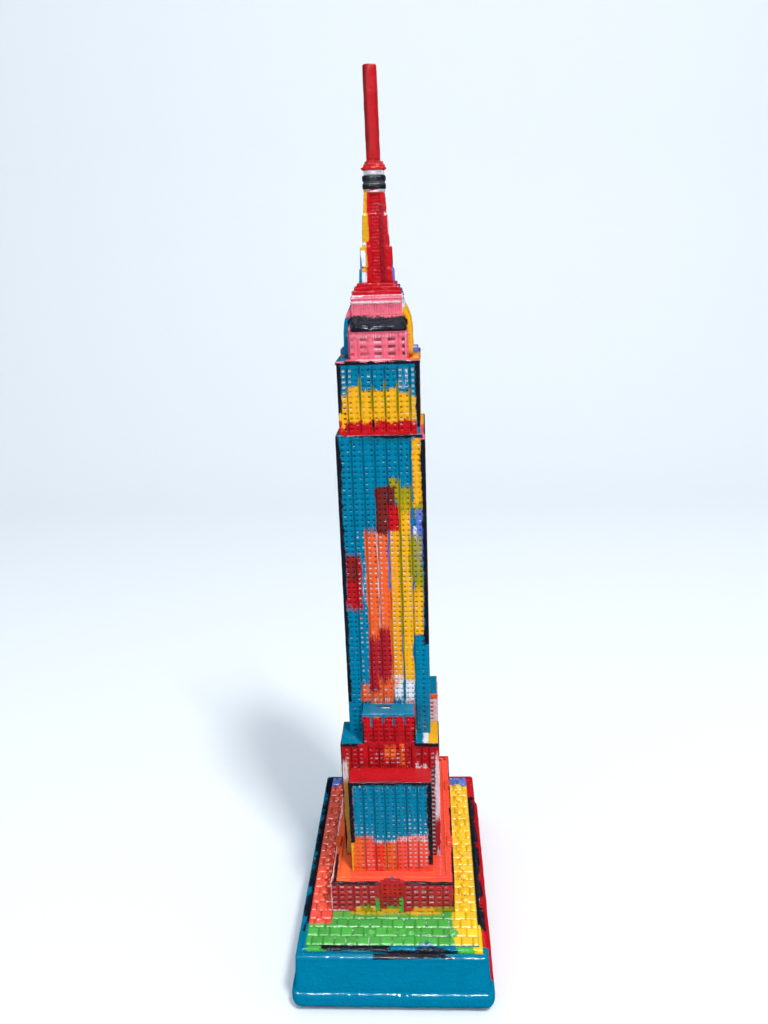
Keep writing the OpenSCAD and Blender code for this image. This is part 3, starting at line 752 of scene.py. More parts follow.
def moulding(
    piece, box, profile, radius, seed, slot=0, wobble=0.05, per_side=24, size=2.2, roof_slot=None,
    lumps=0.1, roof_step=1.2
):
    """A block whose sides follow a profile, from the foot up.

    A point of the profile is (inset, height) or (inset in x, inset in y, height). With a roof_slot the block
    gets a roof.
    """
    (x0, y0, _), (x1, y1, _) = box
    steps = [p if len(p) == 3 else (p[0], p[0], p[1]) for p in profile]
    rows = []
    for inset_x, inset_y, z in steps:
        rim = max(radius - min(inset_x, inset_y), 0.12)
        outline, normal, reach = ring(x0 + inset_x, x1 - inset_x, y0 + inset_y, y1 - inset_y, rim, per_side)
        rows.append((np.column_stack([outline, np.full(len(outline), z)]), normal, reach))
    points = np.stack([r[0] for r in rows], axis=1)
    normal = np.stack([r[1] for r in rows], axis=1)
    reach = rows[0][2]
    soft = value_noise(points, size, seed) * wobble
    soft += value_noise(points, size * 0.35, seed + 4) * wobble * 0.5
    soft[:, 0] = 0.0
    points[..., :2] += normal * soft[..., None]
    run = np.concatenate([[0], np.cumsum([math.dist(a, b) for a, b in zip(steps, steps[1:])])])
    uv = np.stack(np.broadcast_arrays(reach[:, None], run[None, :]), axis=-1)
    piece.grid(points, uv, slot, wall_u=reach[:, None], wall_v=points[..., 2] - DATUM)
    inset_x, inset_y, z = steps[-1]
    if roof_slot is not None:
        roof_patch(piece, (x0 + inset_x, y0 + inset_y), (x1 - inset_x, y1 - inset_y), z, seed + 7, roof_slot,
                   roof_step, lumps)


def round_over(inset, z, radius, steps=4):
    """Profile points that round an upper edge whose corner would be at (inset, z)."""
    return [(inset + radius * (1 - math.cos(a)), z - radius + radius * math.sin(a))
            for a in np.linspace(0, math.pi / 2, steps + 1)]


def turned(piece, centre, profile, seed, slot=0, wobble=0.05, around=40, size=1.2, spikes=0.0, lean=0.0):
    """A part turned about an upright axis from (radius, height) pairs, with paint lumps on it."""
    angle = np.linspace(0, 2 * math.pi, around + 1) + math.pi / 2
    radius = np.array([p[0] for p in profile])
    z = np.array([p[1] for p in profile])
    direction = np.stack([np.cos(angle), np.sin(angle)], axis=-1)
    flat = direction[:, None, :] * radius[None, :, None]
    points = np.concatenate(
        [flat + np.array(centre), np.broadcast_to(z[None, :, None], flat.shape[:2] + (1,))], axis=-1
    )
    soft = value_noise(points, size, seed) * wobble + value_noise(points, size * 0.4, seed + 2) * wobble * 0.6
    if spikes:
        soft = soft + spikes * np.clip(value_noise(points, 0.75, seed + 6), 0, 1) ** 1.5
    soft = soft * np.clip(radius[None, :] / 0.6, 0, 1)
    soft[-1] = soft[0]
    points[..., :2] += direction[:, None, :] * soft[..., None]
    points[..., 0] += lean * (points[..., 2] - z[0])
    run = np.concatenate([[0], np.cumsum([math.dist(a, b) for a, b in zip(profile, profile[1:])])])
    u = (angle - angle[0] - math.pi) * radius.max()
    uv = np.stack(np.broadcast_arrays(u[:, None], run[None, :]), axis=-1)
    piece.grid(points, uv, slot, wall_u=np.broadcast_to(u[:, None], uv.shape[:2]),
               wall_v=np.broadcast_to(z[None, :] - DATUM, uv.shape[:2]))


def rounded_outline(corners, radius=0.25, gap=0.8):
    """Points round a closed outline: softened corners and a point every gap along its edges."""
    corners = np.array(corners, float)
    points = []
    for k, corner in enumerate(corners):
        before, after = corners[k - 1], corners[(k + 1) % len(corners)]
        to_before = (before - corner) / np.linalg.norm(before - corner)
        to_after = (after - corner) / np.linalg.norm(after - corner)
        cut = min(radius, np.linalg.norm(after - corner) * 0.3, np.linalg.norm(before - corner) * 0.3)
        points.append(corner + to_before * cut)
        points.append(corner + (to_before + to_after) * cut * 0.3)
        points.append(corner + to_after * cut)
        run = np.linalg.norm(after - corner) - 2 * cut
        count = max(1, int(run / gap))
        for j in range(1, count):
            points.append(corner + to_after * (cut + run * j / count))
    return np.array(points)


def stacked(piece, sections, seed, slot=0, wobble=0.04, size=1.2):
    """A closed bar through outlines with the same number of points, each with its height, and flat ends."""
    outlines = [np.vstack([o, o[:1]]) for o, _ in sections]
    heights = [z for _, z in sections]
    ends = [np.broadcast_to(o[:-1].mean(axis=0), o.shape) for o in (outlines[0], outlines[-1])]
    outlines = [ends[0]] + outlines + [ends[1]]
    heights = [heights[0]] + heights + [heights[-1]]
    points = np.stack([np.column_stack([o, np.full(len(o), z)]) for o, z in zip(outlines, heights)], axis=1)
    middle = points[:-1, :, :2].mean(axis=0)
    away = points[..., :2] - middle
    length = np.maximum(np.linalg.norm(away, axis=-1, keepdims=True), 1e-6)
    soft = value_noise(points, size, seed) * wobble + value_noise(points, size * 0.4, seed + 2) * wobble * 0.5
    points[..., :2] += away / length * np.minimum(length, 1.0) * soft[..., None]
    step = np.linalg.norm(np.diff(outlines[1], axis=0), axis=1)
    u = np.concatenate([[0], np.cumsum(step)])
    run = np.concatenate([[0], np.cumsum(np.maximum(np.diff(heights), 0.6))])
    uv = np.stack(np.broadcast_arrays(u[:, None], run[None, :]), axis=-1)
    piece.grid(points, uv, slot, wall_u=points[..., 0], wall_v=points[..., 2] - DATUM)


# ---------------------------------------------------------------- brush work shared by the unseen sides


def brushed_bays(seed, u, v, bays, paints, tall=(14, 40), chance=0.8):
    """Upright strokes down the bays of a wall, in paints drawn at random."""
    rng = np.random.default_rng(seed)
    pitch = (u[1] - u[0]) / bays
    laid = []
    bay = 0
    while bay < bays:
        wide = int(rng.integers(1, 4))
        left = u[0] + bay * pitch
        right = min(left + wide * pitch, u[1])
        foot = v[0] + rng.uniform(-6, 2)
        while foot < v[1] - 3:
            head = min(foot + rng.uniform(*tall), v[1])
            if rng.random() < chance:
                paint = paints[int(rng.integers(len(paints)))]
                laid.append(
                    stroke(
                        paint, (left - 0.2, right + 0.2), (foot, head), (0.15, 2.6),
                        fill=rng.uniform(0.6, 0.95)
                    )
                )
            foot = head - rng.uniform(0, 2)
        bay += wide
    return laid


def ink(u, v, fray=(0.3, 0.3), ragged=0.22):
    """A black outline stroke, laid thick and uneven."""
    return stroke(INK, u, v, fray, ragged, opacity=1.0, fill=0.97, lift=1.6)


def tower_side(start, depth, seed):
    """Brush work on one long side of the shaft, from its foot to its top."""
    u = (start, start + depth)
    return (
        brushed_bays(seed, u, (102, 150), 9, (TEAL, TEAL, ORANGE, RED))
        + brushed_bays(seed + 1, u, (146, 200), 9, (ORANGE, RED, CORAL, YELLOW, RED))
        + brushed_bays(seed + 2, u, (196, 240), 9, (LILAC, YELLOW, TEAL, OLIVE, TEAL), chance=0.6)
    )


# ---------------------------------------------------------------- shaft and upper tier

SHAFT_LOW, SHAFT_HIGH = node_box("shaft")
TOWER_Y = (SHAFT_LOW[1] + SHAFT_HIGH[1]) / 2
SHAFT_W = SHAFT_HIGH[0] - SHAFT_LOW[0]
SHAFT_D = SHAFT_HIGH[1] - SHAFT_LOW[1]

SHAFT_FRONT = [
    stroke(PRIMER, (-12.2, -8.4), (118, 165), (0.2, 2.0), 0.8, holes=True, fill=0.6),
    stroke(ORANGE, (-12.2, -8.4), (118, 160), (0.2, 2.0), 0.8, holes=True, fill=0.25),
    stroke(ORANGE, (-12.2, -8.4), (118, 127), (0.2, 2.0), fill=0.7),
    stroke(ORANGE, (-8.2, 2.1), (116, 131), (0.2, 1.5), fill=0.75),
    stroke(DARK_RED, (-8.2, -4.0), (123, 154), (0.2, 3.0), 0.5),
    stroke(DARK_RED, (-4.2, 1.9), (129, 157), (0.2, 4.0), 0.5),
    stroke(RED, (-8.0, 1.7), (126, 150), (0.4, 4.0), 0.6, opacity=0.3),
    stroke(ORANGE, (-8.0, -3.4), (149, 199), (0.2, 4.0), fill=0.7),
    stroke(ORANGE, (-3.4, 1.9), (154, 199), (0.2, 2.5), fill=0.75),
    stroke(PALE_PINK, (-3.1, -2.3), (154, 199), (0.2, 2.0), 0.2, opacity=0.5),
    stroke(RED, (-16.6, -9.9), (163, 188), (0.5, 3.5), 0.4),
    stroke(MAROON, (-16.0, -11.0), (166, 185), (0.5, 2.0), 0.6, opacity=0.4),
    stroke(PRIMER, (-9.9, -8.0), (166, 187), (0.3, 2.0), 0.4, opacity=0.3),
    stroke(PRIMER, (-12.2, -7.9), (166, 199), (0.3, 2.0), 0.4, holes=True, fill=0.55),
    stroke(PRIMER, (-3.0, -0.5), (155, 197), (0.3, 2.0), 0.4, holes=True, fill=1.1),
    stroke(PRIMER, (-8.2, -5.6), (163, 197), (0.3, 2.0), 0.4, holes=True, fill=1.1),
    stroke(ORANGE, (1.6, 3.0), (119, 200), (0.15, 2.0)),
    stroke(AMBER, (2.4, 6.7), (127, 202), (0.2, 3.0), fill=0.85),
    stroke(PRIMER, (2.4, 4.6), (127, 202), (0.2, 2.0), 0.4, holes=True, fill=1.1),
    stroke(YELLOW, (7.3, 12.0), (125, 209), (0.2, 2.5), fill=0.8),
    stroke(PALE_PINK, (7.3, 12.0), (160, 196), (0.2, 2.5), holes=True, fill=0.45),
    stroke(OLIVE, (6.6, 7.7), (152, 221), (0.1, 4.0)),
    stroke(TEAL, (2.4, 6.6), (116, 122), (0.2, 2.5), fill=0.5),
    stroke(TEAL, (6.9, 11.6), (115, 128), (0.2, 2.5), fill=0.6),
    stroke(MAROON, (-2.9, 2.3), (198, 217.5), (0.25, 1.2), 0.3),
    stroke(MAROON, (-1.8, 2.3), (216, 218.6), (0.4, 0.5), 0.3),
    stroke(MAROON, (2.2, 5.6), (205, 219.5), (0.3, 0.9), 0.35),
    stroke(RED, (2.0, 7.0), (199, 210), (0.2, 2.0), 0.35),
    stroke(OLIVE, (3.2, 5.6), (218.5, 222.5), (0.4, 1.6), 0.35, opacity=0.8),
    stroke(OLIVE, (5.5, 7.6), (212, 221), (0.3, 2.6), 0.35, opacity=0.85),
    stroke(OLIVE, (7.2, 12.3), (207, 218.5), (0.3, 2.6), 0.35, opacity=0.85),
    stroke(YELLOW, (7.6, 11.6), (205, 215), (0.3, 4.0), 0.4, opacity=0.4),
    stroke(YELLOW, (12.9, 16.9), (209, 239), (0.4, 1.5), 0.35),
    stroke(OLIVE, (13.4, 16.7), (204, 211), (0.3, 2.6), 0.4),
    stroke(LILAC, (13.9, 17.2), (184, 208.5), (0.5, 2.2), 0.4),
    stroke(LILAC, (11.6, 12.6), (194, 208), (0.2, 2.0)),
    stroke(PRIMER, (12.8, 14.0), (189, 201), (0.2, 2.0), 0.4, opacity=0.7),
    stroke(LILAC, (1.6, 2.6), (173, 199), (0.15, 2.0)),
    stroke(OLIVE, (10.4, 16.0), (178, 197), (0.4, 4.0), 0.4, opacity=0.7),
    stroke(OLIVE, (12.8, 16.4), (166, 180), (0.3, 3.0), 0.3),
    stroke(YELLOW, (12.0, 16.2), (149, 173), (0.3, 3.0), fill=0.85),
    stroke(TEAL, (11.7, 18.5), (115, 151), (0.2, 2.0)),
    stroke(PRIMER, (2.6, 6.4), (119, 131), (0.3, 3.0), 0.7, opacity=0.72),
    stroke(PRIMER, (7.4, 11.4), (117, 129), (0.3, 2.0), 0.6, opacity=0.75),
    stroke(ORANGE, (2.6, 5.0), (124, 136), (0.3, 2.0), 0.7, opacity=0.4),
    stroke(ORANGE, (8.6, 11.0), (115, 120), (0.3, 1.0), 0.6, opacity=0.5),
    stroke(PRIMER, (2.6, 11.6), (117, 134), (0.3, 3.0), holes=True, fill=0.6),
    stroke(PRIMER, (-8.2, 2.1), (114, 121), (0.3, 1.5), 0.6, opacity=0.3),
    stroke(MAROON, (-16.2, -11.0), (176, 188), (0.4, 4.0), 0.6, opacity=0.6),
    ink((-19.0, -16.6), (118, 242), (0.4, 0.3), 0.6),
    ink((16.5, 18.9), (146, 242), (0.4, 0.3), 0.6),
    stroke(PINK, (16.7, 18.8), (238.4, 240.8), (0.2, 0.3), 0.2),
    ink((-15.6, 17.0), (239.2, 241), (0.5, 0.6), 0.6),
    stroke(INK, (-12.5, 14.0), (237.6, 239.4), (0.8, 0.6), 1.0, opacity=0.45)
]

SHAFT_RIGHT = (
    tower_side(SHAFT_W / 2, SHAFT_D, 61)
    + [ink((18.0, 19.6), (146, 242)), ink((18.4, 64.0), (239.2, 241)), ink((62.6, 64.6), (140, 242))]
)
SHAFT_LEFT = (
    tower_side(-SHAFT_W / 2 - SHAFT_D, SHAFT_D, 71)
    + [ink((-19.8, -18.0), (118, 242)), ink((-64.0, -18.4), (239.2, 241)), ink((-64.6, -62.6), (120, 242))]
)
SHAFT_BACK = (
    brushed_bays(81, (63.9, 82.3), (102, 170), 4, (ORANGE, TEAL, RED, CORAL))
    + brushed_bays(82, (-82.3, -63.9), (120, 190), 4, (YELLOW, ORANGE, RED))
    + brushed_bays(83, (63.9, 82.3), (165, 240), 4, (TEAL, YELLOW, LILAC, OLIVE), chance=0.6)
    + [ink((63.0, 65.4), (130, 242)), ink((-65.4, -63.0), (120, 242)), ink((63.9, 83), (239.2, 241)),
       ink((-83, -63.9), (239.2, 241))]
)


def make_shaft():
    piece = Piece("painted_shaft")
    front = bay_lines(SHAFT_W, bays=7, pitch=4.83, window=0.9)
    side = bay_lines(SHAFT_D, bays=9, pitch=4.72, window=0.9)
    floors = floor_lines(SHAFT_LOW[2], SHAFT_HIGH[2], first=1.4, pitch=2.33, window=1.1, top_gap=1.4)
    wall_block(piece, SHAFT_LOW, SHAFT_HIGH, front, side, floors, seed=11)
    paints = paint_job("shaft_paint", TEAL, SHAFT_FRONT, SHAFT_RIGHT, SHAFT_BACK, SHAFT_LEFT,
                       [stroke(RED, (-20, 20), (-22, 40), fill=1.0),
                        stroke(PALE_PINK, (-16, 10), (-20, -14), (2.0, 0.3), 0.5),
                        stroke(PINK, (8, 20), (-20, -14), (1.0, 0.3), 0.5),
                        stroke(PINK, (15, 20), (-22, 6), (0.3, 2.0), 0.5, opacity=0.5),
                        stroke(YELLOW, (15, 20), (6, 40), (0.4, 2.0), 0.6),
                        stroke(TEAL, (-20, -15), (-20, -10), (0.5, 0.5), 0.5)], roof_ground=RED)
    piece.make(paints, "shaft")


TIER_LOW, TIER_HIGH = node_box("upper_tier")
LEDGE = 1.4  # height of the thin ledge that closes the tier

TIER_TOPS = (257.0, 260.0, 258.3, 258.0, 259.2, 257.2, 256.0)  # where the yellow ends in each bay

TIER_FRONT = [
    stroke(PRIMER, (8.2, 12.4), (258, 268), (0.5, 2.0), 0.8, opacity=0.3),
    stroke(INK, (-14, 15), (266, 269.4), (0.5, 1.2), 1.0, opacity=0.3),
    stroke(PRIMER, (-16.0, -10.5), (250, 269), (0.3, 1.0), holes=True, fill=1.1),
    stroke(PRIMER, (7.9, 15.2), (246, 268), (0.3, 1.0), holes=True, fill=0.8),
    stroke(INK, (-15.0, -11.0), (250, 269), (0.3, 1.0), 0.8, opacity=0.25),
    stroke(PRIMER, (-8, 8), (263, 269), (0.3, 1.0), holes=True, fill=0.35),
    stroke(RED, (-17.0, 15.6), (236, 248), (0.2, 0.6), 1.4),
    stroke(YELLOW, (-15.2, 14.6), (246.5, 256), (0.3, 1.0), 0.4),
    *(stroke(YELLOW, (5.1 * bay - 17.7, 5.1 * bay - 12.9), (245.4 + 0.5 * (bay % 2), top), (0.3, 1.0), 1.4)
      for bay, top in enumerate(TIER_TOPS)),
    *(stroke(OLIVE, (u - 0.5, u + 0.45), (foot, head), (0.15, 2.4)) for u, foot, head in (
        (-7.65, 249, 264), (-2.55, 250, 260), (2.55, 248, 262), (7.65, 250, 261.5), (12.75, 248, 259))),
    # Dark brown in a few window recesses is painted shade, standing in for deep holes.
    stroke(HOLE_SHADE, (-15, 15), (243, 262), (0.3, 1.0), holes=True, fill=0.12),
    stroke(PRIMER, (-16.0, -13.2), (251, 270), (0.3, 1.0), holes=True, fill=1.1),
    stroke(PRIMER, (13.0, 15.6), (244, 270), (0.3, 1.0), holes=True, fill=1.1),
    stroke(YELLOW, (-15.4, -14.0), (242, 253), (0.2, 2.0), 0.4),
    ink((-3.0, -2.1), (243.2, 246), (0.2, 0.6)),
    ink((-17.4, -14.9), (249, 271), (0.4, 0.6), 0.4),
    ink((15.0, 17.4), (243, 271), (0.3, 0.6), 0.4),
    ink((-17.6, 17.6), (269.2, 271), (0.3, 0.25)),
]


def tier_side(start, depth, seed, edges=(0, 1)):
    """A side of the upper tier, yellow below and teal above; edges are the ends outlined in black."""
    u = (start, start + depth)
    outlines = [ink((u[k] - 1.2, u[k] + 1.2), (246 - 2 * k, 271)) for k in edges]
    return (
        brushed_bays(seed, u, (240, 260), 8, (YELLOW, YELLOW, OLIVE, ORANGE), (6, 18), 0.9)
        + [stroke(PINK, u, (237, 245), (0.2, 2.0), 0.6), stroke(YELLOW, u, (243, 249), (0.2, 2.0), 0.6),
           ink((start - 1, start + depth + 1), (269.2, 271))]
        + outlines
    )


def make_upper_tier():
    piece = Piece("painted_upper_tier")
    rim = 0.4
    low, high = TIER_LOW + (rim, rim, 0), TIER_HIGH - (rim, rim, LEDGE)
    w, d = high[0] - low[0], high[1] - low[1]
    columns = [s * t for t in (1.27, 3.83, 6.37, 8.93, 11.47, 14.0) for s in (-1, 1)]
    front = column_lines(w, sorted(columns), window=1.0, joints=(-12.75, -7.65, -2.55, 2.55, 7.65, 12.75))
    side = bay_lines(d, bays=8, pitch=4.9, window=1.2)
    floors = floor_lines(low[2], high[2], first=2.0, pitch=2.2, window=1.1, top_gap=0.6)
    wall_block(piece, low, high, front, side, floors, seed=21, corner=0.35, groove=0.75,
               thick=lambda u, v: np.where((v < 258) & (abs(u) < 12.7), 0.65, 1.0))
    top = TIER_HIGH[2]
    ledge = [(0.35, top - LEDGE - 0.15), (0.05, top - LEDGE + 0.1), (0.0, top - 0.7)]
    ledge += round_over(0.0, top, 0.45)
    moulding(
        piece, (TIER_LOW, TIER_HIGH), ledge, radius=0.6, seed=22, slot=5, wobble=0.14, per_side=36,
        size=1.5, roof_slot=4, lumps=0.16
    )
    paints = paint_job(
        "tier_paint", TEAL, TIER_FRONT, tier_side(w / 2, d, 91),
        tier_side(w / 2 + d, w / 2, 92, (0,)) + tier_side(-w - d, w / 2, 93, (1,)),
        tier_side(-w / 2 - d, d, 94),
        [
            stroke(PINK, (-14, 15), (-13, -6), (1.2, 0.4), 0.7),
            stroke(PRIMER, (-9, 6), (-12.8, -7), (2.5, 0.5), 0.9, opacity=0.6),
            stroke(TEAL, (-20, -13), (-14, 20), (0.6, 1.0), 0.6),
            stroke(YELLOW, (13, 20), (-9, 24), (0.6, 1.0), 0.6),
            stroke(LILAC, (12, 20), (14, 26), (0.6, 1.0), 0.6)
        ],
        roof_ground=RED
    )
    rim_strokes = [
        stroke(PINK, (-17.0, -13.5), (269.6, 272), (0.5, 0.2), 0.5),
        stroke(PINK, (-8, 5), (270.0, 272), (2.5, 0.3), 0.9),
        stroke(PINK, (12, 17.2), (269.8, 272), (0.8, 0.3), 0.5),
        stroke(TEAL, (-60, -17), (260, 272), (0.5, 0.2)),
        stroke(YELLOW, (17.2, 45), (269.8, 272), (0.8, 0.2))
    ]
    paints.append(acrylic("tier_ledge_paint", INK, rim_strokes, grain="across"))
    piece.make(paints, "upper_tier")


# ---------------------------------------------------------------- lower blocks

LOWER_LOW, LOWER_HIGH = node_box("lower_tower")
LOWER_W = LOWER_HIGH[0] - LOWER_LOW[0]
LOWER_D = LOWER_HIGH[1] - LOWER_LOW[1]

LOWER_FRONT = [
    stroke(TEAL, (-16.6, 16.6), (62, 89), (0.2, 1.0), opacity=1.0, fill=1.1),
    stroke(PRIMER, (-9, 16.4), (57.0, 64.0), (0.2, 1.6), 0.4, opacity=0.4),
    stroke(TEAL, (-16.4, -12.2), (59.5, 89), (0.2, 2.2), 0.35, fill=1.1),
    stroke(TEAL, (-12.2, -7.4), (61.5, 89), (0.2, 2.4), 0.35, fill=1.1),
    stroke(TEAL, (-7.4, 2.4), (59.0, 89), (0.2, 1.4), 0.35, fill=1.1),
    stroke(TEAL, (2.3, 7.2), (61.5, 89), (0.2, 1.4), 0.35, fill=1.1),
    stroke(TEAL, (7.2, 16.4), (62.5, 89), (0.2, 1.4), 0.35, fill=1.1),
    stroke(PRIMER, (-16.2, -8.0), (60.0, 67.0), (0.3, 3.0), holes=True, fill=0.7),
    stroke(PRIMER, (-7.8, 3.0), (57.0, 62.5), (0.3, 1.5), holes=True, fill=0.8),
    stroke(PRIMER, (6.0, 16.0), (60.0, 71.0), (0.3, 4.0), holes=True, fill=0.6),
    stroke(INK, (-15.8, 15.8), (86.2, 88.6), (0.3, 1.2), 0.9, opacity=0.35),
    stroke(PRIMER, (-15.8, 15.8), (84.4, 87.6), (0.3, 0.6), 0.6, opacity=0.18),
    *(stroke(TEAL, (left, right), (foot, 63), (0.12, 2.0))
      for left, right, foot in ((-13.1, -12.0, 54.5), (-8.4, -7.4, 54), (-3.6, -2.6, 56))),
    stroke(ORANGE, (-18.0, -12.2), (42, 61.5), (0.2, 1.8), 0.4),
    stroke(CORAL, (-12.6, -7.8), (42, 59.5), (0.2, 1.8), 0.4),
    stroke(GOLD, (-11.8, -8.3), (58.0, 63.5), (0.2, 2.0), 0.4, opacity=0.35),
    stroke(SCARLET, (-8.0, -3.2), (42, 57), (0.2, 1.8), 0.4),
    stroke(ORANGE, (-3.2, 2.0), (42, 57.8), (0.2, 1.8), 0.4),
    stroke(CORAL, (2.0, 16.4), (42, 59.5), (0.2, 1.2), 0.4),
    stroke(PRIMER, (-12.0, -3.6), (44.0, 49), (0.3, 1.0), 0.6, holes=True, fill=0.75),
    stroke(PRIMER, (-7.0, 0.4), (43.6, 47.5), (0.3, 1.0), 0.6, opacity=0.25),
    stroke(PRIMER, (6.4, 16.0), (45, 60), (0.3, 1.0), holes=True, fill=0.85),
    stroke(YELLOW, (-18.8, -17.6), (42, 59), (0.12, 1.2)),
    ink((-18.9, -16.5), (58.5, 90), (0.3, 0.5), 0.5),
    ink((16.3, 18.9), (46.5, 90), (0.3, 0.5), 0.5),
    ink((-18.6, 18.6), (88.0, 90), (0.4, 0.25), 0.3),
]


def make_lower_tower():
    piece = Piece("painted_lower_tower")
    front = bay_lines(LOWER_W, bays=7, pitch=4.78, window=1.0)
    side = bay_lines(LOWER_D, bays=17, pitch=4.8, window=1.2)
    floors = floor_lines(LOWER_LOW[2], LOWER_HIGH[2], first=1.6, pitch=2.17, window=1.05, top_gap=1.0)
    wall_block(piece, LOWER_LOW, LOWER_HIGH, front, side, floors, seed=31)
    side_u = (LOWER_W / 2, LOWER_W / 2 + LOWER_D)
    right = (
        [stroke(PRIMER, (18.4, 22.5), (43, 89), (0.2, 1.0), 0.3, opacity=0.5),
         stroke(DARK_RED, (20.0, 26.0), (43, 62), (0.3, 3.0), 0.5),
         stroke(PALE_PINK, (21.0, 29.0), (60, 87), (0.3, 3.0), 0.5)]
        + brushed_bays(101, (29, 76), (43, 89), 9, (ORANGE, CORAL, TEAL, RED))
        + brushed_bays(102, (76, side_u[1]), (43, 89), 5, (PINK, YELLOW, CORAL))
        + [ink((18.0, 19.4), (46, 89.5)), ink((18.0, 104), (87.9, 89.6))]
    )
    left = (
        [stroke(GOLD, (-29.0, -18.0), (43, 89), (0.3, 2.0), 0.4),
         stroke(PRIMER, (-29.0, -18.4), (79, 88), (0.3, 2.5), 0.5, opacity=0.4)]
        + brushed_bays(103, (-76, -29), (43, 89), 9, (TEAL, ORANGE, YELLOW, RED))
        + brushed_bays(104, (-side_u[1], -76), (43, 89), 5, (TEAL, LILAC, GREEN))
        + [ink((-19.4, -18.0), (58, 89.5)), ink((-104, -18.0), (87.9, 89.6))]
    )
    back = (
        brushed_bays(105, (103, 122), (43, 66), 4, (CORAL, ORANGE, RED))
        + brushed_bays(106, (-122, -103), (43, 70), 4, (YELLOW, ORANGE, GREEN))
        + [ink((102, 105), (50, 89.5)), ink((-105, -102), (50, 89.5)), ink((103, 123), (87.9, 89.6)),
           ink((-123, -103), (87.9, 89.6))]
    )
    paints = paint_job(
        "lower_paint", CORAL, LOWER_FRONT, right,
        [stroke(TEAL, (100, 125), (60, 90)), stroke(TEAL, (-125, -100), (64, 90))] + back, left,
        [
            stroke(DARK_RED, (-14, 4), (-33, -31), (3, 0.3), 0.5),
            stroke(YELLOW, (-20, 20), (40, 60), (1, 2), 0.8)
        ],
        roof_ground=RED
    )
    piece.make(paints, "lower_tower")


SHOULDER_LOW, SHOULDER_HIGH = node_box("shoulder_tier")
SHOULDER_W = SHOULDER_HIGH[0] - SHOULDER_LOW[0]
SHOULDER_NEAR = 12.3  # where a shoulder starts, from the tower's axis

SHOULDER_FRONT = [
    stroke(DEEP_RED, (-22.2, 22.2), (43, 102), (0.2, 2.0)),
    stroke(PRIMER, (-22, 22), (91, 97), (0.3, 2.0), 0.5, holes=True, fill=0.45),
    stroke(RED, (-16, -6), (93, 102), (0.2, 3.0), 0.4, opacity=0.6),
    stroke(ORANGE, (-2.4, 2.6), (94, 101), (0.2, 2.0), 0.3),
    stroke(ORANGE, (4.6, 6.8), (90.5, 104), (0.2, 2.0), 0.3),
    stroke(PRIMER, (-21.8, -17.0), (92, 99), (0.4, 1.5), holes=True, fill=0.8),
    stroke(PRIMER, (11.3, 16.2), (89.5, 92.0), (0.5, 0.7), 0.6, opacity=0.7),
    stroke(RED, (12.6, 14.8), (90.4, 93.0), (0.3, 0.5), 0.3),
    stroke(PRIMER, (17.5, 21.5), (91, 98), (0.3, 1.5), holes=True, fill=0.75),
    ink((-22.5, -13.8), (100.4, 102.3), (0.6, 0.25)),
    ink((11.4, 22.5), (100.4, 102.3), (0.6, 0.25)),
    stroke(MAROON, (18.3, 20.2), (44, 91), (0.2, 2.0)),
    stroke(PRIMER, (18.2, 20.2), (44, 91), (0.2, 2.0), holes=True, fill=1.2),
    stroke(PALE_PINK, (20.0, 22.6), (43, 96), (0.25, 4.0), 0.4),
    stroke(DARK_RED, (20.0, 22.6), (46, 63), (0.3, 4.0), 0.5),
    stroke(GOLD, (-22.6, -18.4), (43, 93), (0.25, 3.0), 0.3),
    stroke(MAROON, (-22.6, -18.4), (43, 62), (0.4, 8.0), 0.5, opacity=0.35),
    stroke(PALE_PINK, (-22.2, -19.0), (83, 93), (0.3, 3.0), 0.6, opacity=0.75),
    ink((-22.6, -21.5), (43, 102)),
]


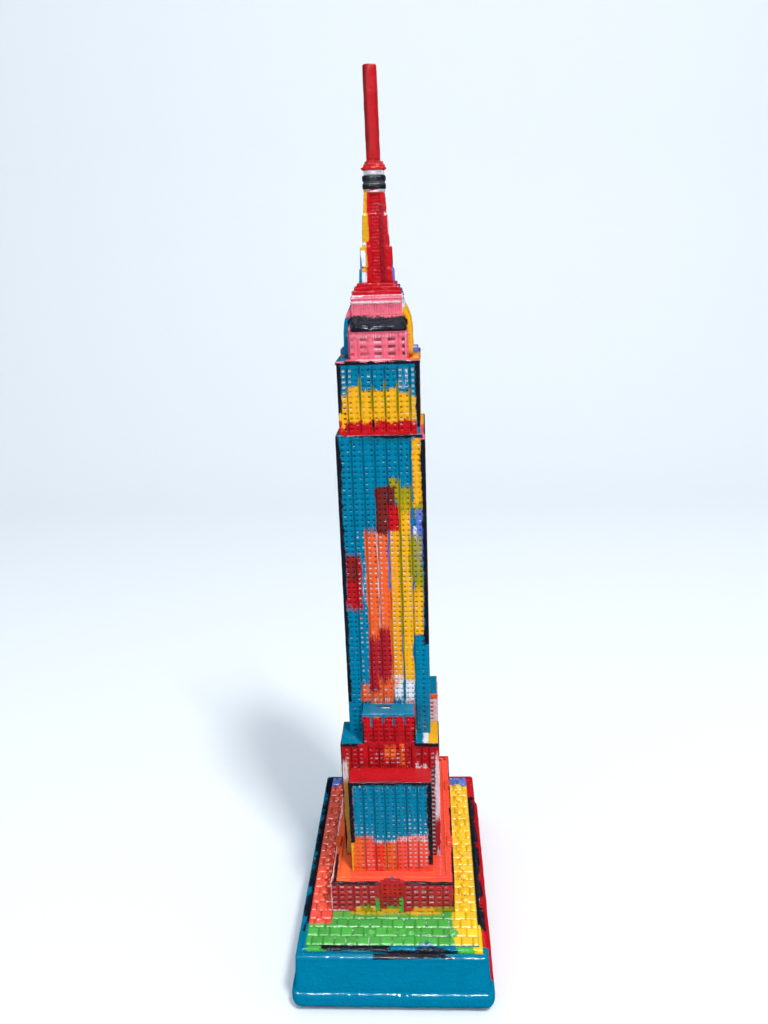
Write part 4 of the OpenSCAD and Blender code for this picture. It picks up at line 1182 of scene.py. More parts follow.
def make_shoulders():
    piece = Piece("painted_shoulders")
    inner = (LOWER_LOW + 0.25, LOWER_HIGH - 0.25)
    columns = [s * t for t in (1.2, 3.6, 6.0, 8.4, 12.7, 15.8, 19.1) for s in (-1, 1)]
    joints = (-17.4, -14.2, -9.6, -4.8, 0.0, 4.8, 9.6, 14.2, 17.4)
    reach = SHOULDER_HIGH[1] - TOWER_Y
    depth = reach - SHOULDER_NEAR
    z0, z1 = LOWER_LOW[2], SHOULDER_HIGH[2]
    front = column_lines(SHOULDER_W, sorted(columns), window=1.25, joints=joints)
    side = bay_lines(depth, bays=4, pitch=4.7, window=1.2)
    floors = floor_lines(z0, z1, first=1.6, pitch=2.2, window=1.1, top_gap=1.2)
    for k, sign in enumerate((-1, 1)):
        y0, y1 = sorted((TOWER_Y + sign * SHOULDER_NEAR, TOWER_Y + sign * reach))
        low, high = np.array((SHOULDER_LOW[0], y0, z0)), np.array((SHOULDER_HIGH[0], y1, z1))
        base = 6 * k
        wall_block(
            piece, low, high, front, side, floors, 41 + k, slots=[base + i for i in range(5)], hidden=inner,
            thick=lambda u, v: np.where((u > -24) & (u < -17.5) & (v < 90), 0.0, 1.0)
        )
    low = np.array((LOWER_LOW[0], TOWER_Y - SHOULDER_NEAR - 0.5, LOWER_HIGH[2]))
    high = np.array((LOWER_HIGH[0], TOWER_Y + SHOULDER_NEAR + 0.5, z1))
    wall_block(
        piece, low, high, bay_lines(LOWER_W, bays=7, pitch=4.78, window=1.2),
        bay_lines(2 * SHOULDER_NEAR, bays=5, pitch=4.8, window=1.2),
        floor_lines(low[2], z1, first=1.4, pitch=2.2, window=1.1, top_gap=1.0), seed=45,
        slots=(5, 5, 5, 5, 4)
    )

    w, d = SHOULDER_W, depth
    right = [stroke(DARK_RED, (w / 2, w / 2 + d), (43, 66), (0.4, 5.0), 0.6),
             stroke(PRIMER, (w / 2, w / 2 + 6), (50, 100), (0.6, 3.0), 0.6, opacity=0.6),
             stroke(PINK, (w / 2 + 6, w / 2 + 13), (60, 100), (0.4, 4.0), 0.4),
             ink((w / 2 - 1, w / 2 + 0.8), (96, 102.3)), ink((w / 2, w / 2 + d), (100.4, 102.3))]
    left = [stroke(GOLD, (-w / 2 - d, -w / 2), (43, 100), (0.4, 4.0), 0.5),
            stroke(PRIMER, (-w / 2 - d, -w / 2), (80, 92), (0.4, 4.0), 0.6, opacity=0.4),
            stroke(TEAL, (-w / 2 - d, -w / 2 - 8), (60, 100), (0.4, 5.0), 0.4),
            ink((-w / 2 - 0.8, -w / 2 + 1), (43, 102.3)), ink((-w / 2 - d, -w / 2), (100.4, 102.3))]
    front_roof = [
        stroke(TEAL, (-24, -12), (-30, 0), (0.8, 0.6), 0.6),
        # A faint white patch on the left roof is a painted highlight.
        stroke(PRIMER, (-19, -14), (-22, -17), (0.8, 0.8), 0.9, opacity=0.2),
        stroke(TEAL, (11, 15.6), (-24, 0), (0.8, 0.6), 0.6),
        stroke(PRIMER, (15.0, 18.0), (-24, -8), (0.6, 0.8), 0.7),
        stroke(YELLOW, (17.4, 23), (-24, -4), (0.6, 0.8), 0.5)
    ]
    rear_roof = [
        stroke(YELLOW, (-4, 12), (34, 45), (1.5, 1.0), 0.7),
        stroke(PINK, (-24, -10), (34, 45), (1.5, 1.0), 0.7)
    ]
    rear = [stroke(PALE_PINK, (w / 2, 3 * w / 2 + d), (89, 99), (0.4, 1.0), 0.4, fill=0.3),
            stroke(ORANGE, (w / 2 + d, 3 * w), (99, 101), (0.4, 0.5), 0.3),
            stroke(ORANGE, (-3 * w, -w / 2 - d), (98, 101), (0.4, 0.5), 0.3)]
    paints = paint_job(
        "shoulder_front_paint", RED, SHOULDER_FRONT, right, rear, left, front_roof, roof_ground=TEAL
    )
    paints.append(
        acrylic("shoulder_middle_paint", ORANGE, [stroke(RED, (-40, 40), (94, 102), (0.4, 3.0), 0.4)])
    )
    rear_left = brushed_bays(111, (-w / 2 - d, -w / 2), (43, 102), 4, (TEAL, RED, ORANGE))
    rear_right = brushed_bays(112, (w / 2, w / 2 + d), (43, 102), 4, (CORAL, RED, YELLOW)) + [
        stroke(ORANGE, (w / 2, w / 2 + d), (99.6, 102)), ink((w / 2 - 1, w / 2 + 0.8), (43, 102.3))]
    rear += brushed_bays(113, (w / 2 + d, w + d), (43, 98), 5, (RED, TEAL, CORAL))
    rear += brushed_bays(114, (-w - d, -w / 2 - d), (43, 98), 5, (RED, YELLOW, CORAL))
    paints += paint_job(
        "shoulder_rear_paint", PALE_PINK,
        [
            stroke(ORANGE, (-24, 24), (99.6, 102), (0.3, 0.4), 0.3),
            stroke(RED, (10, 24), (90, 97), (0.3, 0.5), holes=True)
        ],
        rear_right, rear, rear_left, rear_roof, roof_ground=TEAL
    )
    piece.make(paints, "shoulder_tier")


BAY_LOW, BAY_HIGH = node_box("setback_bays")
BAY_FRONT = [
    *(stroke(TEAL, (u - 0.5, u + 0.5), (foot, 118), (0.1, 2.0), 0.3)
      for u, foot in ((-7.6, 110.5), (-2.6, 111.5), (2.2, 111), (6.9, 112))),
    stroke(ORANGE, (-7.0, -4.2), (114.6, 116.4), (0.5, 0.5), 0.4),
    stroke(TEAL, (-11.4, 11.4), (115.6, 118), (0.3, 0.5), 0.6),
    stroke(DEEP_RED, (-12, 12), (100, 108), (0.2, 4.0), 0.6, opacity=0.6),
    ink((-12.2, -11.0), (102, 113)),
    ink((11.0, 12.2), (102, 115)),
]


def make_setback_bays():
    piece = Piece("painted_setback_bays")
    z0, z1 = BAY_LOW[2], BAY_HIGH[2]
    deep = BAY_HIGH[1] - SHAFT_HIGH[1]
    front = bay_lines(BAY_HIGH[0] - BAY_LOW[0], bays=5, pitch=4.75, window=1.2)
    side = column_lines(deep + 1, (-2.6, 0.0, 2.6), window=1.2)
    floors = floor_lines(z0, z1, first=1.5, pitch=2.2, window=1.15, top_gap=1.4)
    for k, sign in enumerate((-1, 1)):
        edge = SHAFT_LOW[1] if sign < 0 else SHAFT_HIGH[1]
        y0, y1 = sorted((edge - sign * 1.0, edge + sign * deep))
        wall_block(
            piece, (BAY_LOW[0], y0, z0), (BAY_HIGH[0], y1, z1), front, side, floors, 51 + k,
            slots=[5 * k + i for i in range(5)], groove=0.55, hidden=(SHAFT_LOW + 0.3, SHAFT_HIGH - 0.3)
        )
    # A dark line at the roof's front edge, with a white line along it that is a painted highlight.
    roof = [stroke(DARK_TEAL, (-5, 1), (-17.0, -16.0), (1.0, 0.3), 0.3),
            stroke(PRIMER, (-3, 0.5), (-18.1, -17.5), (1.0, 0.2), 0.3)]
    w = BAY_HIGH[0] - BAY_LOW[0]
    right = [
        stroke(YELLOW, (w / 2, w / 2 + 12), (101, 109), (0.3, 1.5), 0.5),
        ink((w / 2 - 1, w / 2 + 0.8), (102, 116))
    ]
    left = [
        stroke(TEAL, (-w / 2 - 12, -w / 2), (101, 118), (0.3, 1.5), 0.5),
        ink((-w / 2 - 0.8, -w / 2 + 1), (102, 114))
    ]
    paints = paint_job("bay_paint", RED, BAY_FRONT, right, (), left, roof, roof_ground=TEAL)
    rear = [
        stroke(ORANGE, (20, 40), (102, 112), (0.3, 2.0), 0.4),
        stroke(YELLOW, (-40, -24), (102, 113), (0.3, 2.0), 0.4),
        stroke(TEAL, (-45, 45), (115.2, 118), (0.3, 0.6), 0.5)
    ]
    paints += paint_job("rear_bay_paint", RED, (), rear, rear, rear, (), roof_ground=TEAL)
    piece.make(paints, "setback_bays")


# ---------------------------------------------------------------- podium, entrance and pavilions

PODIUM_LOW, PODIUM_HIGH = node_box("podium")
RIDGE = 0.7  # height of the parapet ridge above the podium roof

PODIUM_FRONT = [
    stroke(PRIMER, (-27, 27), (29.5, 41.8), (0.5, 1.0), holes=True, fill=0.08),
    stroke(YELLOW, (-17, -6), (27, 29.8), (1.2, 0.8), 0.6),
    stroke(OLIVE, (-14, -9), (27, 31.0), (0.8, 1.2), 0.6),
    stroke(YELLOW, (-5.5, 5.0), (27, 29.5), (1.2, 0.8), 0.6),
    stroke(YELLOW, (9, 20), (27, 29.6), (1.2, 0.8), 0.6),
    stroke(OLIVE, (19, 27.8), (27, 30.0), (1.2, 0.8), 0.6),
    stroke(PALE_PINK, (-27.8, -20), (27, 28.2), (1.2, 0.5), 0.6),
    stroke(GREEN, (-7.9, -5.9), (27, 34.6), (0.3, 1.2), 0.3),
    ink((-27.2, -6.0), (41.9, 43.0), (0.6, 0.25)),
    ink((4.8, 27.9), (41.9, 43.0), (0.6, 0.25)),
    ink((26.9, 27.9), (30, 43)),
    stroke(PALE_PINK, (-27.9, -27.1), (27, 42), (0.15, 1.0), 0.3),
]


def make_podium():
    piece = Piece("painted_podium")
    low, high = PODIUM_LOW, PODIUM_HIGH - (0, 0, RIDGE)
    w, d = high[0] - low[0], high[1] - low[1]
    left_half = (-26.0, -22.6, -19.2, -15.8, -12.4, -9.0)
    right_half = (7.2, 10.6, 14.0, 17.4, 20.8, 24.2)
    lines = column_lines(
        w, left_half + right_half, window=1.75, joints=(-24.3, -17.5, -10.7, 8.9, 15.7, 22.5)
    )
    side = bay_lines(d, bays=14, pitch=6.9, window=1.5)
    floors = Lines().plain(low[2], high[2] - 0.9)
    for k in range(5):
        floors.storey(low[2] + 2.8 + 2.72 * k, 0.62, k, 0.6, 0.15)
    wall_block(
        piece, low, high, lines, side, floors, seed=61, depth=0.8, groove=0.4, roof_step=1.0, wobble=0.11,
        swell=0.12
    )
    inset = 2.9
    z = high[2] - 0.1
    profile = [(inset, z), (inset + 0.05, z + 0.5), (inset + 0.2, z + 0.75), (inset + 0.5, z + 0.8),
               (inset + 0.8, z + 0.75), (inset + 0.95, z + 0.5), (inset + 1.0, z)]
    moulding(piece, (low, high), profile, inset + 0.4, seed=62, slot=4, wobble=0.12, per_side=60, size=2.5)
    u_right, u_left = w / 2, -w / 2 - d
    right = [stroke(RED, (u_right, u_right + d), (27, 43), (0.3, 0.5), 0.3),
             stroke(PRIMER, (u_right, u_right + d), (29, 42), holes=True, fill=0.2),
             stroke(YELLOW, (u_right, u_right + d), (27, 29.3), (0.5, 0.8), 0.7),
             stroke(CORAL, (u_right + 24, u_right + 60), (30, 43), (1.5, 1.0), 0.5),
             ink((u_right - 1, u_right + d), (41.8, 43.0), (0.5, 0.3))]
    left = [
        stroke(BRICK, (u_left, -w / 2), (27, 43), (0.3, 0.5), 0.3),
        stroke(PRIMER, (u_left, -w / 2), (29, 42), holes=True, fill=0.25),
        stroke(TEAL, (u_left + 20, u_left + 55), (30, 43), (1.5, 1.0), 0.5),
        stroke(PRIMER, (u_left, -w / 2), (41.4, 43.0), (0.5, 0.4), 0.4),
        ink((-w / 2 - 30, -w / 2 - 4), (42.2, 43.0), (1.5, 0.3))
    ]
    back = [
        stroke(LILAC, (u_right + d, 200), (27, 36), (0.5, 1.2), 0.6),
        stroke(TEAL, (-200, -w / 2 - d), (27, 40), (0.5, 1.2), 0.5),
        ink((u_right + d, 170), (41.8, 43.0)),
        ink((-170, -w / 2 - d), (41.8, 43.0))
    ]
    roof = [stroke(CORAL, (19, 30), (-42, 60), (0.4, 2.0), 0.4),
            stroke(CORAL, (-22, 27), (-42, -34.8), (3.0, 0.4), 0.5),
            stroke(ROOF_ORANGE, (-28, -19), (-42, 60), (0.4, 2.0), 0.3),
            # A faint pale line inside the right parapet is a painted highlight.
            stroke(PALE_PINK, (21.2, 22.4), (-38, 30), (0.3, 3.0), 0.5, opacity=0.3),
            stroke(RED, (-20, 26), (54, 60), (2.0, 0.6), 0.5),
            stroke(PRIMER, (-28.4, -27.1), (-38, 20), (0.2, 1.5), 0.4),
            ink((26.9, 28.4), (-42, 12), (0.2, 1.5)),
            ink((-26.6, -25.2), (-42, -22), (0.2, 2.0)),
            ink((-27.2, -6.2), (-42.2, -40.3), (0.6, 0.25)),
            ink((4.8, 27.9), (-42.2, -40.3), (0.6, 0.25))]
    paints = paint_job("podium_paint", CRIMSON, PODIUM_FRONT, right, back, left, roof,
                       roof_ground=ROOF_CORAL, rub=(0.15, 1.0))
    piece.make(paints, "podium")


def make_portal():
    piece = Piece("entrance_bay")
    low, high = node_box("entrance_portal")
    roof = PODIUM_HIGH[2] - RIDGE + 0.9
    middle = (low[0] + high[0]) / 2
    w = high[0] - low[0]
    lines = bare_wall(w)
    for k, t in enumerate((-3.4, -1.15, 1.15, 3.4)):
        lines.opening(t, 0.45, k)
    floors = Lines().plain(low[2], roof - 0.8)
    for k in range(6):
        floors.storey(low[2] + 3.5 + 2.18 * k, 0.5, k, 0.5, 0.12)
    wall_block(piece, low, (high[0], high[1], roof), lines, bare_wall(high[1] - low[1]), floors, seed=63,
               depth=0.5, wobble=0.1, roof_step=0.5)
    crest_low, crest_high = np.array((middle - 3.8, low[1] + 0.2, 0)), np.array((middle + 3.8, high[1], 0))
    profile = [(0, roof - 0.3), (0.05, roof + 0.4)] + round_over(0.05, roof + 1.0, 0.4)
    moulding(
        piece, (crest_low, crest_high), profile, radius=0.4, seed=64, wobble=0.15, size=0.9, roof_slot=0,
        lumps=0.15, roof_step=0.4
    )
    finial = [
        (0, roof + 0.4), (0.75, roof + 0.4), (0.6, roof + 1.0), (0.45, roof + 1.5), (0.62, roof + 1.9),
        (0.3, roof + 2.3), (0, roof + 2.35)
    ]
    turned(piece, (middle, low[1] + 1.0), finial, seed=65, slot=5, wobble=0.08, around=16, size=0.5)
    strokes = [
        stroke(RED, (-5, 5), (36, 44), (0.5, 2.0), 0.6),
        stroke(GREEN, (-2.4, 3.4), (27, 31.5), (0.2, 2.4), 0.7, opacity=0.5),
        stroke(GREEN, (3.2, 4.8), (27, 35.5), (0.2, 1.0), 0.3),
        stroke(GREEN, (-1.0, 0.2), (27, 31), (0.2, 1.0), 0.3),
        stroke(YELLOW, (-5.5, 3.0), (27, 29.2), (0.6, 0.8), 0.6)
    ]
    paints = paint_job(
        "portal_paint", DARK_RED, strokes, (), (), (),
        [stroke(TEAL, (-1.5, 1.8), (-45, -38), (0.5, 0.5), 0.6)], roof_ground=RED
    )
    paints.append(acrylic("finial_paint", DARK_RED, [stroke(TEAL, (-2, 0.4), (40, 48), (0.3, 0.3), 0.3)]))
    piece.make(paints, "entrance_portal")


def make_pavilions():
    piece = Piece("attic_pavilions")
    low, high = node_box("side_pavilions")
    middle = (low[1] + high[1]) / 2
    reach = (high[1] - low[1]) / 2 - 3.4
    z0 = low[2]
    for side in (0, 1):
        x0, x1 = (low[0], low[0] + 2.8) if side == 0 else (high[0] - 2.8, high[0])
        for k, y in enumerate((middle - reach, middle + reach)):
            for half, top in ((3.4, z0 + 1.0), (2.6, z0 + 1.6)):
                profile = [(0.0, z0 - 0.1), (0.02, z0 + 0.5)] + round_over(0.02, top, 0.3)
                box = np.array((x0, y - half, 0)), np.array((x1, y + half, 0))
                moulding(
                    piece, box, profile, radius=0.35, seed=66 + 2 * side + k, slot=0, wobble=0.12,
                    per_side=10, size=0.9, roof_slot=1, lumps=0.12, roof_step=0.5
                )
    walls = acrylic(
        "pavilion_paint", CORAL,
        [stroke(ORANGE, (-60, 0), (40, 50), (0.3, 0.3), 0.4), ink((1.0, 5.5), (42, 43.6), (0.4, 0.3), 0.4)]
    )
    roofs = acrylic("pavilion_roof_paint", CORAL, [stroke(ORANGE, (-40, 0), (-60, 60))], grain="across")
    piece.make([walls, roofs], "side_pavilions")


# ---------------------------------------------------------------- crown

CROWN_LOW, CROWN_HIGH = node_box("crown_body")
FINS_LOW, FINS_HIGH = node_box("crown_fins")
HOOD_LOW, HOOD_HIGH = node_box("deck_hood")
CAP_LOW, CAP_HIGH = node_box("crown_cap")
WING_TOP = 3.1  # height of the side wings above the tier


def around_axis(half_x, half_y, z0, z1):
    """A box centred on the tower's axis."""
    return np.array((-half_x, TOWER_Y - half_y, z0)), np.array((half_x, TOWER_Y + half_y, z1))


def crown_front_lines(w):
    lines = bare_wall(w, 0.4)
    for k, (t, half) in enumerate(((-10.5, 0.45), (-5.65, 1.35), (0, 1.35), (5.65, 1.35), (10.5, 0.45))):
        lines.opening(t, half, k, 0.3)
    for t in (-8.3, 8.3):
        lines.joint(t, 0.3, 0.5)
    return lines


def make_crown():
    piece = Piece("painted_crown")
    z0, z1 = CROWN_LOW[2], CROWN_HIGH[2]
    floors = Lines().plain(z0, z1 - 0.6)
    for k in range(3):
        floors.storey(z0 + 1.75 + 2.85 * k, 0.6, k, 0.85, 0.25)
    floors.joint(z1 - 1.9, 0.5, -0.5)
    low, high = around_axis(11.45, 15.1, z0, z1)
    wall_block(
        piece, low, high, crown_front_lines(22.9), column_lines(30.2, (-9, -4.5, 0, 4.5, 9), 2.0), floors,
        seed=71, depth=1.05, groove=0.3, wobble=0.12, corner=0.4, swell=0.12
    )
    low, high = around_axis(12.6, 11.1, z0, z1)
    wall_block(
        piece, low, high, bare_wall(25.2), column_lines(22.2, (-6.6, -2.2, 2.2, 6.6), 2.2), floors, seed=72,
        depth=0.75, wobble=0.1, corner=0.4
    )
    low, high = around_axis(16.2, 5.6, z0, z0 + WING_TOP)
    rows = Lines().plain(z0, z0 + WING_TOP - 0.6).opening(z0 + 1.4, 0.6, 0, 0.25)
    wall_block(piece, low, high, bare_wall(32.4), column_lines(11.2, (-3, 0, 3), 1.6), rows, seed=73,
               slots=(5, 6, 5, 7, 8), depth=0.5, wobble=0.1, corner=0.4, roof_step=0.7)
    glints = [stroke(PALE_PINK, (-9, 6), (278.9, 279.7), (1.5, 0.3), 0.9, opacity=0.4)]
    right = [
        stroke(PALE_PINK, (11, 60), (268, 282), (0.3, 0.3), 0.3),
        stroke(YELLOW, (30, 60), (268, 276), (0.6, 1.0), 0.5)
    ]
    left = [stroke(TEAL, (-60, -11), (268, 283), (0.3, 0.3), 0.3)]
    paints = paint_job(
        "crown_paint", PINK, glints, right, [stroke(YELLOW, (-90, -42), (268, 282), (0.5, 1.0), 0.4)], left,
        (), rub=(0.15, 0.75), shadow=0.42, score=0.35
    )
    wing = [stroke(LILAC, (-30, 30), (271.5, 276), (0.3, 0.5), 0.6)]
    paints += [
        acrylic("wing_front_paint", YELLOW, wing),
        acrylic("wing_right_paint", LILAC, [stroke(YELLOW, (0, 40), (268, 270), (0.3, 0.5), 0.5)]),
        acrylic("wing_left_paint", TEAL, wing),
        acrylic("wing_roof_paint", LILAC, [stroke(PRIMER, (12, 17), (2, 9), (0.5, 0.5), 0.8)])
    ]
    piece.make(paints, "crown_body")


def make_fins():
    piece = Piece("crown_fins_painted")
    foot, z1 = FINS_LOW[2], FINS_HIGH[2]
    z0 = z1 - 23.9  # the level that the heights of the lean are given above
    outer = FINS_HIGH[0]
    y1 = FINS_HIGH[1] - TOWER_Y
    y0 = y1 - 5.5
    lean = (
        (6, -0.1), (8, 0), (12.3, 0.05), (15, 0.3), (16.6, 0.5), (18.0, 0.9), (19.4, 1.3), (21, 2.1),
        (22.6, 2.9)
    )
    edge = [(foot, outer)] + [(z0 + rise, outer - inward) for rise, inward in lean]
    edge += [(z1 - 0.3, outer - 3.3), (z1, outer - 3.6)]
    sections = []
    for z, x in edge:
        inner = x - (1.9 if z < z0 + 19 else max(0.5, x - CAP_HIGH[0] + 0.4))
        sections.append((rounded_outline([(inner, -y1), (x, -y1), (x, -y0), (inner, -y0)], 0.3, 0.9), z))
    fewest = min(len(o) for o, _ in sections)
    sections = [(o if len(o) == fewest else rounded_like(o, fewest), z) for o, z in sections]
    for side in (-1, 1):
        for front in (-1, 1):
            stacked(piece, mirrored(sections, side, -front), 75 + side + 3 * front, slot=0 if side < 0 else 1,
                    wobble=0.16, size=1.4)
    left = acrylic("fin_left_paint", TEAL, [stroke(PINK, (-20, 0), (286.5, 290.5), (0.3, 0.5), 0.5)])
    right = acrylic(
        "fin_right_paint", YELLOW,
        [
            stroke(ORANGE, (11, 16), (270, 272), (0.3, 1.0), 0.5),
            stroke(PRIMER, (9, 13.2), (290.4, 294), (0.3, 0.3), 0.3)
        ]
    )
    piece.make([left, right], "crown_fins")


def mirrored(sections, turn_x, turn_y):
    """The same sections in another quarter round the tower's axis, still wound the same way."""
    order = 1 if turn_x * turn_y > 0 else -1
    return [
        (np.column_stack([o[:, 0] * turn_x, TOWER_Y + o[:, 1] * turn_y])[::order], z) for o, z in sections
    ]


def rounded_like(outline, count):
    """The same closed outline with another number of points, evenly spaced."""
    closed = np.vstack([outline, outline[:1]])
    run = np.concatenate([[0], np.cumsum(np.linalg.norm(np.diff(closed, axis=0), axis=1))])
    at = np.linspace(0, run[-1], count + 1)[:-1]
    return np.column_stack([np.interp(at, run, closed[:, k]) for k in (0, 1)])


def make_hood():
    piece = Piece("deck_hood_painted")
    z0, z1 = HOOD_LOW[2], HOOD_HIGH[2]
    box = around_axis((HOOD_HIGH[0] - HOOD_LOW[0]) / 2, (HOOD_HIGH[1] - HOOD_LOW[1]) / 2, z0, z1)
    front_box = around_axis(11.85, 15.9, z0, z1)
    profile = [
        (0.5, 0.6, z0 - 0.15), (0.0, 0.05, z0 + 0.2), (-0.1, -0.1, z0 + 0.9), (0.25, 0.5, z0 + 2.0),
        (0.7, 1.3, z0 + 3.2), (1.2, 2.2, z0 + 4.6), (1.6, 3.0, z1 - 0.4), (2.2, 3.5, z1)
    ]
    moulding(
        piece, front_box, profile, radius=0.8, seed=77, wobble=0.34, per_side=34, size=1.3, roof_slot=0,
        lumps=0.2
    )
    half = box[1][0]
    body = around_axis(half, 11.1, z0, z1)
    profile = [(0.4, z0 - 0.1), (0.0, z0 + 0.4), (0.0, z1 - 0.8)] + round_over(0.0, z1, 0.5)
    moulding(
        piece, body, profile, radius=0.6, seed=78, wobble=0.2, per_side=20, size=1.3, roof_slot=0,
        lumps=0.15
    )
    flare = [
        stroke(PINK, (-14, 14), (287.0, 289), (0.4, 0.7), 0.9),
        stroke(PINK, (-13.2, -10.6), (281, 283.4), (0.6, 0.8), 0.5),
        stroke(PINK, (-13.2, -12.0), (281, 289), (0.3, 0.8), 0.4),
        # Faint white specks along the hood's lower edge are painted highlights.
        stroke(PRIMER, (-9, 9.5), (282.6, 283.4), (1.5, 0.4), 1.3, opacity=0.3),
        stroke(PINK, (5.0, 6.0), (286.6, 288), (0.3, 0.5), 0.3),
        stroke(TEAL, (-60, -12.2), (281, 288), (0.4, 0.4), 0.4),
        stroke(YELLOW, (12.4, 40), (281, 286), (0.4, 0.8), 0.5)
    ]
    piece.make([acrylic("hood_paint", INK, flare, grain="across", shine=0.06)], "deck_hood")


def make_cap():
    piece = Piece("crown_cap_painted")
    low, high = CAP_LOW.copy(), CAP_HIGH.copy()
    z0, z1 = low[2], high[2]
    lines = Lines().plain(low[0], low[0] + 0.4, high[0] - 0.4, high[0])
    for k in range(21):
        lines.opening((k - 10) * 0.93, 0.12, k, 0.2)
    side = Lines().plain(low[1] - TOWER_Y, high[1] - TOWER_Y)
    for k in range(17):
        side.opening((k - 8) * 1.36, 0.2, k, 0.22)
    floors = Lines().plain(z0, z1 - 0.6).opening((z0 + 0.8 + z0 + 4.4) / 2, 1.7, 0, 0.25)
    floors.joint(z0 + 4.9, 0.5, -0.7).joint(z0 + 6.5, 0.3, -0.6)
    wall_block(
        piece, low, high, lines, side, floors, seed=79, depth=0.18, groove=0.42, wobble=0.1, corner=0.45,
        roof_step=0.9
    )
    front = [
        # The two pale lines along the cornices are painted highlights.
        stroke(PALE_PINK, (-10, 10), (291.9, 292.9), (1.0, 0.2), 0.5, opacity=0.6),
        stroke(PRIMER, (-10, 10.5), (294.9, 295.7), (1.0, 0.2), 0.4, opacity=0.6)
    ]
    right = [
        stroke(PRIMER, (10.2, 40), (286, 297), (0.3, 0.3), 0.2),
        stroke(LILAC, (26, 40), (286, 297), (1.0, 0.5), 0.5)
    ]
    left = [stroke(TEAL, (-40, -14), (286, 292), (1.0, 0.6), 0.5)]
    paints = paint_job(
        "cap_paint", PINK, front, right,
        [stroke(LILAC, (40, 60), (286, 297)), stroke(YELLOW, (-60, -40), (286, 292))], left, (),
        rub=(0.05, 0.2), shadow=0.85, score=0.2
    )
    piece.make(paints, "crown_cap")


# ---------------------------------------------------------------- mast


def make_mast_base():
    piece = Piece("mast_steps")
    low, high = node_box("mast_base")
    z = low[2]
    for k, (inset, top) in enumerate(((0.0, high[2] - 2.9), (0.9, high[2] - 1.3), (2.0, high[2]))):
        box = low + (inset, inset, 0), high - (inset, inset, 0)
        profile = [(0.1, z - 0.05), (0.0, z + 0.3)] + round_over(0.0, top, 0.4)
        moulding(
            piece, box, profile, radius=0.5, seed=82 + k, wobble=0.12, per_side=26, size=1.2, roof_slot=0,
            lumps=0.18, roof_step=0.7
        )
        z = top
    strokes = [
        stroke(PALE_PINK, (-4, 6), (297.6, 298.2), (1.5, 0.3), 0.8, opacity=0.15),
        stroke(TEAL, (-45, -9.8), (294, 300), (0.5, 0.4), 0.4),
        stroke(LILAC, (11, 45), (294, 300), (0.5, 0.4), 0.4)
    ]
    piece.make(
        [acrylic("mast_base_paint", RED, strokes, grain="across", gloss=0.07, shine=0.3)], "mast_base",
    )


def make_mast_core():
    piece = Piece("louvred_core")
    low, high = node_box("mast_core")
    floors = Lines().plain(low[2], high[2])
    pitch = (high[2] - low[2]) / 27
    for k in range(1, 27):
        floors.joint(low[2] + k * pitch, 0.35, 1.0)
    across = bare_wall(high[0] - low[0])
    wall_block(
        piece, low, high, across, across, floors, seed=86, groove=0.11, wobble=0.07, corner=0.25,
        roof_step=0.8
    )
    paints = paint_job(
        "mast_core_paint", RED, (), [stroke(LILAC, (5, 9), (300, 334))],
        [stroke(YELLOW, (8, 14), (300, 336))], [stroke(TEAL, (-9, -5), (300, 334))], (), score=0.3
    )
    piece.make(paints, "mast_core")


# Foot and head above the mast's foot, half width at the foot and at the head, width of the outer faces.
WING_STEPS = (
    (0.0, 5.5, 7.1, 6.9, 2.0), (5.5, 14.0, 6.5, 6.3, 2.0), (14.0, 26.4, 5.4, 5.0, 1.9),
    (26.4, 34.7, 4.6, 4.15, 1.5)
)


